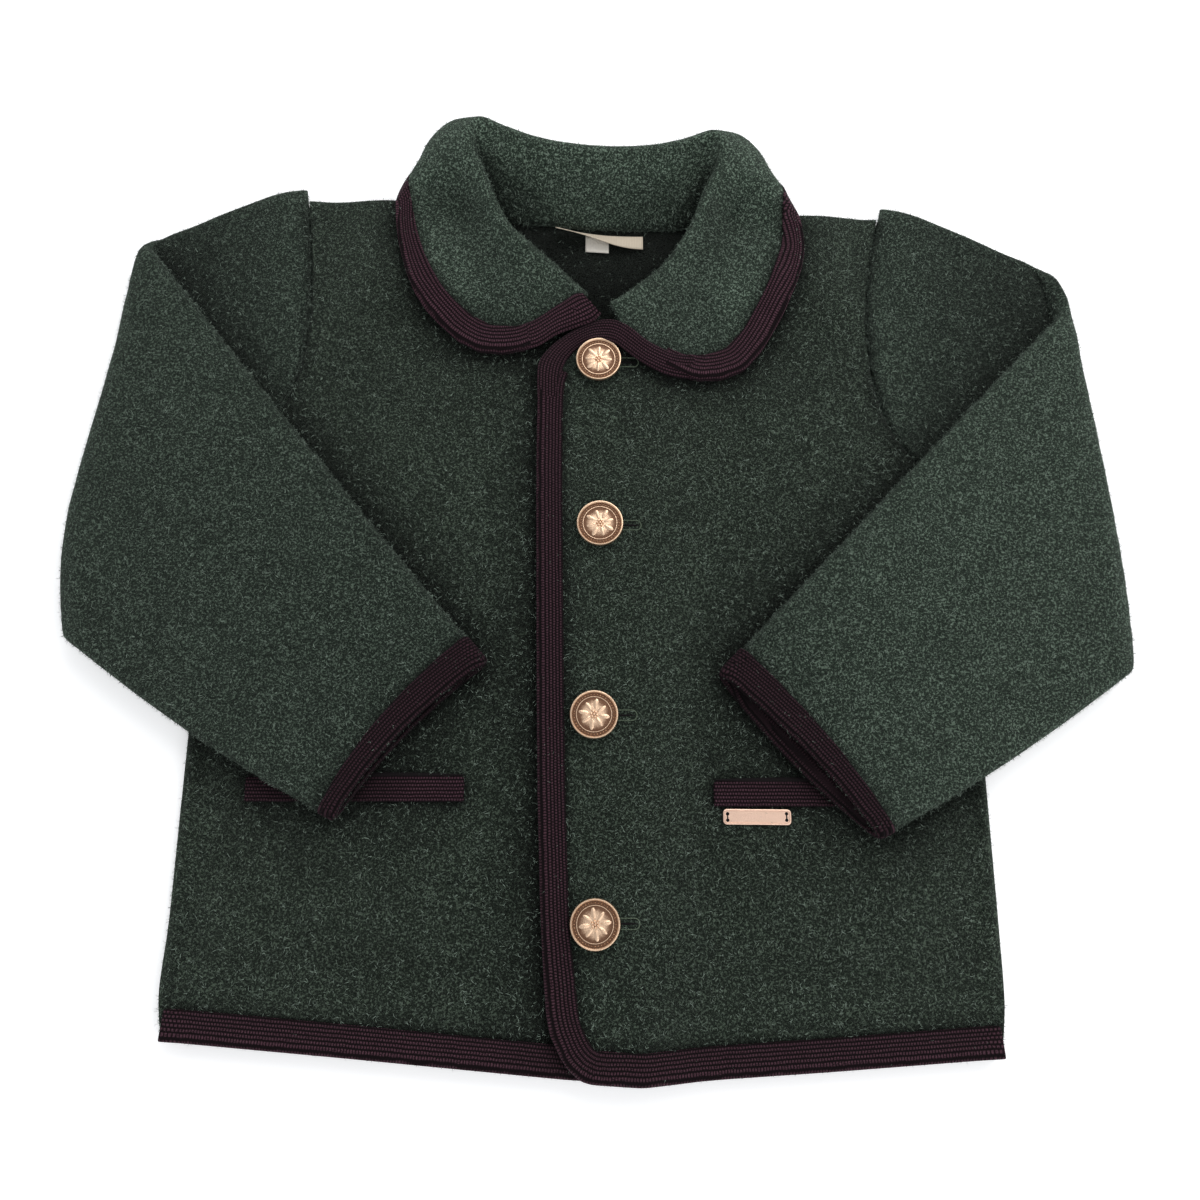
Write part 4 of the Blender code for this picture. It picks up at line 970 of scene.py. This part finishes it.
SHANK = 0.3        # how far the outline starts above the cloth, in millimetres
button_centres = []
for number in range(1, 5):
    low, _, centre = box_of("button_" + str(number))
    base = low.z - SHANK + lift_at(centre.x, centre.y)
    piece = edelweiss_button("edelweiss_button_" + str(number), centre, base, 0.4 + 1.9 * number)
    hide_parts("button_" + str(number))
    button_centres.append(centre)
print("buttons:", len(button_centres))

# %% [markdown]
# ## Buttonholes
#
# A buttonhole is a narrow slit across the front. A line of backstitch runs round it, a couple of
# millimetres from its lips, and half of it hides under the button. Each stitch is a squashed sphere
# of a few dozen faces. The gaps of the buttonholes and of the pocket slits, just above their welts,
# are thin dark beads: painted shadow of the opening.

# %% Spin two threads
def thread_finish(name, ground, pale):
    tree, shader = start_finish(name, 0.8, 0.05, (0.6, 0.7, 0.6, 1.0), gloss=0.15)
    strand = lumps(tree, object_place(tree), 2400.0, 2.0)
    tree.links.new(blend(tree, strand, (*ground, 1.0), (*pale, 1.0)), shader.inputs["Base Color"])
    bump(tree, shader, strand, 0.0001)


thread_finish("green_thread", (0.040, 0.055, 0.038), (0.15, 0.19, 0.13))
# Dark thread for the plate's stitches, and also the painted shadow in the slits of the buttonholes and
# pockets.
thread_finish("dark_thread_and_slit_shadow", (0.0015, 0.001, 0.0013), (0.007, 0.004, 0.005))

print("threads spun")

# %% Sew a buttonhole beside each button
STITCH = (0.8, 0.26, 0.26)                 # half sizes of a stitch, in millimetres
HOLE_END, LIP, STITCHES = 15.4, 2.1, 8     # from the button's middle, off the slit, along one lip
bpy.context.view_layer.update()


def top_of_front(x, y):
    """Height of the upper face of the left front at a place, in millimetres."""
    return front_left.ray_cast((x * MM, y * MM, 0.1), (0.0, 0.0, -1.0))[1].z / MM


for number, centre in enumerate(button_centres, 1):
    end_x, y = centre.x + HOLE_END, centre.y
    path = [(end_x - 1.2 * k, y + lip, 0.1 * sin(k * 2.3))
            for k in range(STITCHES) for lip in (LIP, -LIP)]
    for angle in (pi * (k + 0.5) / 6 - pi / 2 for k in range(6)):
        path.append((end_x + LIP * cos(angle), y + LIP * sin(angle), angle + pi / 2))
    bm = bmesh.new()
    for px, py, turn in path:
        bead(bm, px, py, top_of_front(px, py) + 0.2, STITCH, turn, 8)
    add_piece("buttonhole_" + str(number), bm, "green_thread")
    # A thin dark bead in the middle is the slit: painted shadow inside the cut.
    bm = bmesh.new()
    bead(bm, end_x - 3.5, y, top_of_front(end_x - 3.5, y) + 0.1, (5.0, 0.4, 0.25), 0.0, 12)
    add_piece("buttonhole_slit_shadow_" + str(number), bm, "dark_thread_and_slit_shadow")
print("buttonholes sewn")

# %% Lay painted shadow in the two pocket slits
for side in ("right", "left"):
    low, high, middle = box_of("pocket_welt_" + side)
    z = low.z + 0.2 + lift_at(middle.x, high.y)
    bm = bmesh.new()
    # A thin dark bead stands for the slit: painted shadow of the opening.
    bead(bm, middle.x, high.y + 0.6, z, (44.8, 1.3, 0.85), 0.0, 24)
    add_piece("pocket_slit_shadow_" + side, bm, "dark_thread_and_slit_shadow")
print("two pocket slits")

# %% [markdown]
# ## Name plate
#
# A small plate of the same metal is sewn on below the left pocket through two holes at each end.
# Its field is sunk inside a narrow rim, and it is left bare. An inset and a small move down make
# the field from the plate's top face.

# %% Make the plate
PLATE = (27.5, 6.2, 0.9)           # its length, height and thickness, in millimetres
_, high, centre = box_of("name_plate")
lift = lift_at(centre.x, centre.y)
bm = bmesh.new()
bmesh.ops.create_cube(bm, size=1.0)
bmesh.ops.scale(bm, vec=Vector(PLATE) * MM, verts=bm.verts)
upright = [e for e in bm.edges if abs(e.verts[0].co.z - e.verts[1].co.z) > 0.5 * MM]
bmesh.ops.bevel(bm, geom=upright, offset=1.6 * MM, segments=6, profile=0.5, affect="EDGES", material=-1)
top = max(bm.faces, key=lambda f: f.calc_center_median().z)
bmesh.ops.bevel(bm, geom=list(top.edges), offset=0.2 * MM, segments=2, profile=0.5, affect="EDGES",
                material=-1)
top = max(bm.faces, key=lambda f: (round(f.calc_center_median().z, 6), f.calc_area()))
for rim in (0.5, 0.12):
    bmesh.ops.inset_region(bm, faces=[top], thickness=rim * MM)
bmesh.ops.translate(bm, vec=(0, 0, -0.22 * MM), verts=top.verts)
relief = bm.verts.layers.float.new("relief")
for vert in bm.verts:
    vert[relief] = 0.75 if vert in top.verts else (1.0 if vert.co.z > 0.3 * MM else 0.2)
place = Matrix.Translation((centre + Vector((0, 0, lift))) * MM) @ Matrix.Rotation(radians(-0.5), 4, "Z")
bmesh.ops.transform(bm, matrix=place, verts=bm.verts)
plate = add_piece("bare_name_plate", bm, "plate_metal")
plate.data.set_sharp_from_angle(angle=radians(35))
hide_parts("name_plate")
print("plate faces:", len(plate.data.polygons))

# %% Sew the plate on
bm = bmesh.new()
field = high.z + lift - 0.22
for x in (centre.x - 11.9, centre.x + 11.9):
    for row in (-1.25, 1.25):
        bead(bm, x, centre.y + row, field, (0.72, 0.72, 0.16), 0.0, 12)
    bead(bm, x, centre.y, field + 0.1, (0.9, 0.28, 0.2), pi / 2, 8)
add_piece("plate_stitches", bm, "dark_thread_and_slit_shadow")
print("plate sewn on")

# %% [markdown]
# ## Labels
#
# A woven tape and a small white tag are caught in the neck seam. The tape has sprung up at one
# end, as such a tape does after washing. Both are grids, bent in code and given a thin wall, and
# both are left bare.

# %% Bend the tape and the tag
def ribbon(name, finish, replaces, rows, columns, shape):
    """A grid whose place at a share across and down is given by a function."""
    bm = bmesh.new()
    bmesh.ops.create_grid(bm, x_segments=columns, y_segments=rows, size=0.5)
    for vert in bm.verts:
        vert.co = Vector(shape(vert.co.x + 0.5, 0.5 - vert.co.y)) * MM
    piece = add_piece(name, bm, finish)
    thick = piece.modifiers.new("wall", "SOLIDIFY")
    thick.thickness = 0.35 * MM
    thick.offset = 0.0
    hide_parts(replaces)
    return piece


def tape(u, v):
    """The tape stands on its edge at the wearer's right and lies down towards the left."""
    tilt = radians(62.0 - 50.0 * u + 10.0 * sin(u * 5.0))
    down = 6.5 * v
    x = -16.0 + 39.5 * u
    y = 160.4 - 4.0 * u - 1.2 * sin(pi * u) - down * cos(tilt)
    return x, y, 9.4 + 0.4 * u + down * sin(tilt) * 0.9 + 1.5 * (1.0 - u) ** 3


def tag(u, v):
    return -2.6 + 10.6 * u, 157.0 - 1.0 * u - 7.6 * v, 8.9 + 0.7 * (1.0 - v) + 0.5 * v * v * u


ribbon("neck_tape", "label_woven", "neck_label", 6, 40, tape)
ribbon("size_tag", "label_white", "size_label", 8, 12, tag)

# %% [markdown]
# ## Painted light and shade
#
# Shade is painted into the colour of the felt and the knit where layers lie close together and
# under the folded sleeve, and light is painted on raised and steep parts. Rays from each vertex
# find how much of its sky other cloth closes within four centimetres, and vertices under another
# piece get one dark value. The share becomes a number at each vertex that the felt and the knit
# multiply into their colour, so a corner between two layers is painted dark.

# %% Find how open the sky is over each vertex
def spread_rays(count):
    """Directions spread evenly over the half sphere about +Z, in the order of a sunflower's seeds."""
    turn = radians(137.508) * np.arange(count)
    up = 1.0 - (np.arange(count) + 0.5) / count
    low = np.sqrt(1.0 - up * up)
    return np.stack((low * np.cos(turn), low * np.sin(turn), up), axis=1)


def find_open_share(piece, tree, rays=spread_rays(16), reach=40.0):
    """1 at open vertices and less in corners. Those under another piece get one value."""
    points, normals = vertex_array(piece), vertex_array(piece, "normal")
    open_share = np.ones(len(points))
    side = np.cross(normals, (0.31, 0.95, 0.02))
    side /= np.linalg.norm(side, axis=1)[:, None] + 1e-9
    other = np.cross(normals, side)
    for k in np.nonzero(normals[:, 2] > -0.2)[0]:
        start = Vector(points[k] + normals[k] * 0.5 * MM)
        if tree.ray_cast(start, Vector((0.0, 0.0, 1.0)), 4.0 * MM)[0] is not None:
            open_share[k] = 0.4
            continue
        fan = rays[:, :1] * side[k] + rays[:, 1:2] * other[k] + rays[:, 2:] * normals[k]
        closed = 0.0
        for ray in fan:
            found = tree.ray_cast(start, Vector(ray), reach * MM)[3]
            if found is not None:
                closed += 1.0 - 0.6 * found / (reach * MM)
        open_share[k] = 1.0 - closed / len(fan)
    return open_share

# %% Turn that share into painted light and shade
def even_with_neighbours(piece, values, times=6):
    """Average the values of vertices that an edge joins."""
    ends = np.empty(len(piece.data.edges) * 2, dtype=np.int64)
    piece.data.edges.foreach_get("vertices", ends)
    one, other = ends.reshape(-1, 2).T
    degree = np.bincount(ends, minlength=len(values)) + 1.0
    for _ in range(times):
        total = values.copy()
        np.add.at(total, one, values[other])
        np.add.at(total, other, values[one])
        values = total / degree
    return values


def find_painted_light_and_shade(piece, tree, tone, depth):
    """Store the painted light and shade; depth says how dark corners get, tone gives painted light and
    shade at a place, and steep faces get painted rim light.
    """
    open_share = even_with_neighbours(piece, find_open_share(piece, tree))
    # Steep faces, where the cloth turns down to its rims, get painted light as a pale rim.
    steep_painted_rim_light = np.clip(1.0 - vertex_array(piece, "normal")[:, 2], 0.0, 0.7)
    value = open_share ** depth * tone(*(vertex_array(piece).T / MM)) * (1.0 + 0.9 * steep_painted_rim_light)
    layer = piece.data.attributes.new("painted_light_and_shade", "FLOAT", "POINT")
    layer.data.foreach_set("value", np.clip(value, 0.05, 2.0))

# %% Where light and shade are painted on each piece
def even_tone(level):
    return lambda x, y, z: np.full_like(x, level)


def neck_painted_shadow(x, y, z):
    """Painted shadow on the inside of the back, where it shows in the neck."""
    return 1.0 - 0.82 * step(112.0, 124.0, y) * step(-70.0, -50.0, x) * step(-75.0, -55.0, -x)


def sleeve_painted_light_and_shade(x, y, z):
    """Painted light on the part folded over; painted shade on the part beside the body, deepest in the
    hollow by the top of the fold and lighter at the armhole seam.
    """
    folded = step(9.5, 15.0, z)
    seam = np.exp(-((np.abs(x) - 134.0) / 16.0) ** 2)
    hollow = np.exp(-((np.abs(x) - 188.0) / 17.0) ** 2 - ((y - 134.0) / 24.0) ** 2)
    beside = 0.72 + 0.34 * seam - 0.26 * hollow
    folded_painted_light = 1.02 + 0.41 * step(60.0, 120.0, x)
    return beside * (1.0 - folded) + folded_painted_light * folded


def collar_painted_light(x, y, z):
    """Painted light on the raised fall, and less of it on the stand inside."""
    stand = step(95.0, 110.0, y) * step(-62.0, -45.0, x) * step(-68.0, -50.0, -x)
    return 1.94 - 0.5 * stand * (1.0 - step(17.0, 26.0, z))


# %% Paint light and shade on each piece
corners, polygons = [], []
felt_pieces = [back, front_right, front_left, *sleeves, collar]
knit_pieces = [*braids.values(), *welts]
for piece in felt_pieces + knit_pieces:
    first = len(corners)
    corners += [v.co.copy() for v in piece.data.vertices]
    polygons += [tuple(first + i for i in p.vertices) for p in piece.data.polygons]
closed_by = BVHTree.FromPolygons(corners, polygons)
tones = {back: neck_painted_shadow, collar: collar_painted_light, sleeves[0]: sleeve_painted_light_and_shade, sleeves[1]: sleeve_painted_light_and_shade}
for piece in felt_pieces:
    # The fronts get deeper painted shadow in their corners, as beside the folded sleeves.
    depth = 3.4 if piece in (front_right, front_left) else 2.6
    find_painted_light_and_shade(piece, closed_by, tones.get(piece, even_tone(1.08)), depth)
# How bright each braid is; the cuff braids are darkened all over as painted shade.
knit_levels = {"collar_edge_braid": 1.08, "left_front_braid": 0.86, "right_cuff_braid": 0.55,
               "left_cuff_braid": 0.55}
for piece in knit_pieces:
    find_painted_light_and_shade(piece, closed_by, even_tone(knit_levels.get(piece.name, 0.95)), 1.6)
print("nap found on", len(felt_pieces) + len(knit_pieces), "pieces")

# %% [markdown]
# ## Loose fibres
#
# Boiled wool is never bald. Single fibres a tenth of a millimetre thick, most of them
# paler than the ground, lie over its face and stand out at every edge, where they catch
# the light as a thin bright rim. Each fibre is a strip of a quad and a triangle, rooted in the cloth
# and bent over. Steep parts of a piece get more of them, since that is where they show.

# %% Grow fibres on a piece
def fibres(name, piece, count, length, seed):
    """Bent strips rooted at random places of a piece, in a mesh of their own."""
    draw = np.random.default_rng(seed)
    mesh = piece.data
    mesh.calc_loop_triangles()
    corner = np.empty(len(mesh.loop_triangles) * 3, dtype=np.int64)
    mesh.loop_triangles.foreach_get("vertices", corner)
    places = vertex_array(piece)
    a, b, c = (places[corner.reshape(-1, 3)[:, k]] for k in range(3))
    across = np.cross(b - a, c - a)
    area = np.linalg.norm(across, axis=1)
    normal = across / (area[:, None] + 1e-15)
    weight = area * np.where(normal[:, 2] > -0.2, 1.0 + 10.0 * (1.0 - normal[:, 2]) ** 2, 0.0)
    chosen = draw.choice(len(area), count, p=weight / weight.sum())
    u, v = draw.random((2, count, 1))
    over = u + v > 1.0
    u, v = np.where(over, 1.0 - u, u), np.where(over, 1.0 - v, v)
    a, b, c, normal = a[chosen], b[chosen], c[chosen], normal[chosen]
    root = a + u * (b - a) + v * (c - a)
    lean = draw.normal(size=(count, 3))
    lean -= (lean * normal).sum(axis=1)[:, None] * normal
    lean /= np.linalg.norm(lean, axis=1)[:, None]
    side = np.cross(normal, lean)
    long = length * MM * draw.uniform(0.5, 1.4, (count, 1))
    stand = draw.uniform(0.1, 0.75, (count, 1)) ** 2 * long
    curl = draw.normal(0.0, 0.35, (count, 1)) * long
    half = draw.uniform(0.04, 0.09, (count, 1)) * MM
    root -= normal * 0.05 * MM
    middle = root + lean * long * 0.5 + normal * stand
    tip = root + lean * long * 0.9 + side * curl + normal * stand * draw.uniform(0.2, 1.5, (count, 1))
    points = np.stack((root - side * half, root + side * half, middle + side * half * 0.8,
                       middle - side * half * 0.8, tip), axis=1)
    strip = bpy.data.meshes.new(name)
    first, corner = 5 * np.arange(count)[:, None], 7 * np.arange(count)[:, None]
    order = np.concatenate((first + [0, 1, 2, 3], first + [3, 2, 4]), axis=1)
    strip.vertices.add(5 * count)
    strip.vertices.foreach_set("co", points.ravel())
    strip.loops.add(7 * count)
    strip.loops.foreach_set("vertex_index", order.ravel().astype(np.int32))
    strip.polygons.add(2 * count)
    strip.polygons.foreach_set("loop_start", (corner + [0, 4]).ravel().astype(np.int32))
    strip.update(calc_edges=True)
    strip.validate()
    dress(name, strip, "fibre")
    print(name, "fibres:", count)

# %% Scatter them
tree, shader = start_finish("fibre", 0.85, gloss=0.1)
share = between(tree, lumps(tree, object_place(tree), 420.0, 1.0), 0.35, 0.65)
tree.links.new(blend(tree, share, (0.030, 0.042, 0.032, 1.0), (0.26, 0.33, 0.27, 1.0)),
               shader.inputs["Base Color"])

for number, (piece, count) in enumerate(((back, 8000), (front_right, 26000), (front_left, 28000),
                                         (sleeves[0], 40000), (sleeves[1], 40000), (collar, 18000))):
    fibres("fibres_" + piece.name, piece, count, 1.9, number)

# %% [markdown]
# ## The size of the dressed jacket
#
# The dressed jacket has to stay inside the box of the solids, give or take the little that wool
# may stand proud. Both boxes are gathered side by side in one table.

# %% Gather the sizes
size = {"cad": [list(c) for c in cad_box], "visual": [list(c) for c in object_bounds()]}
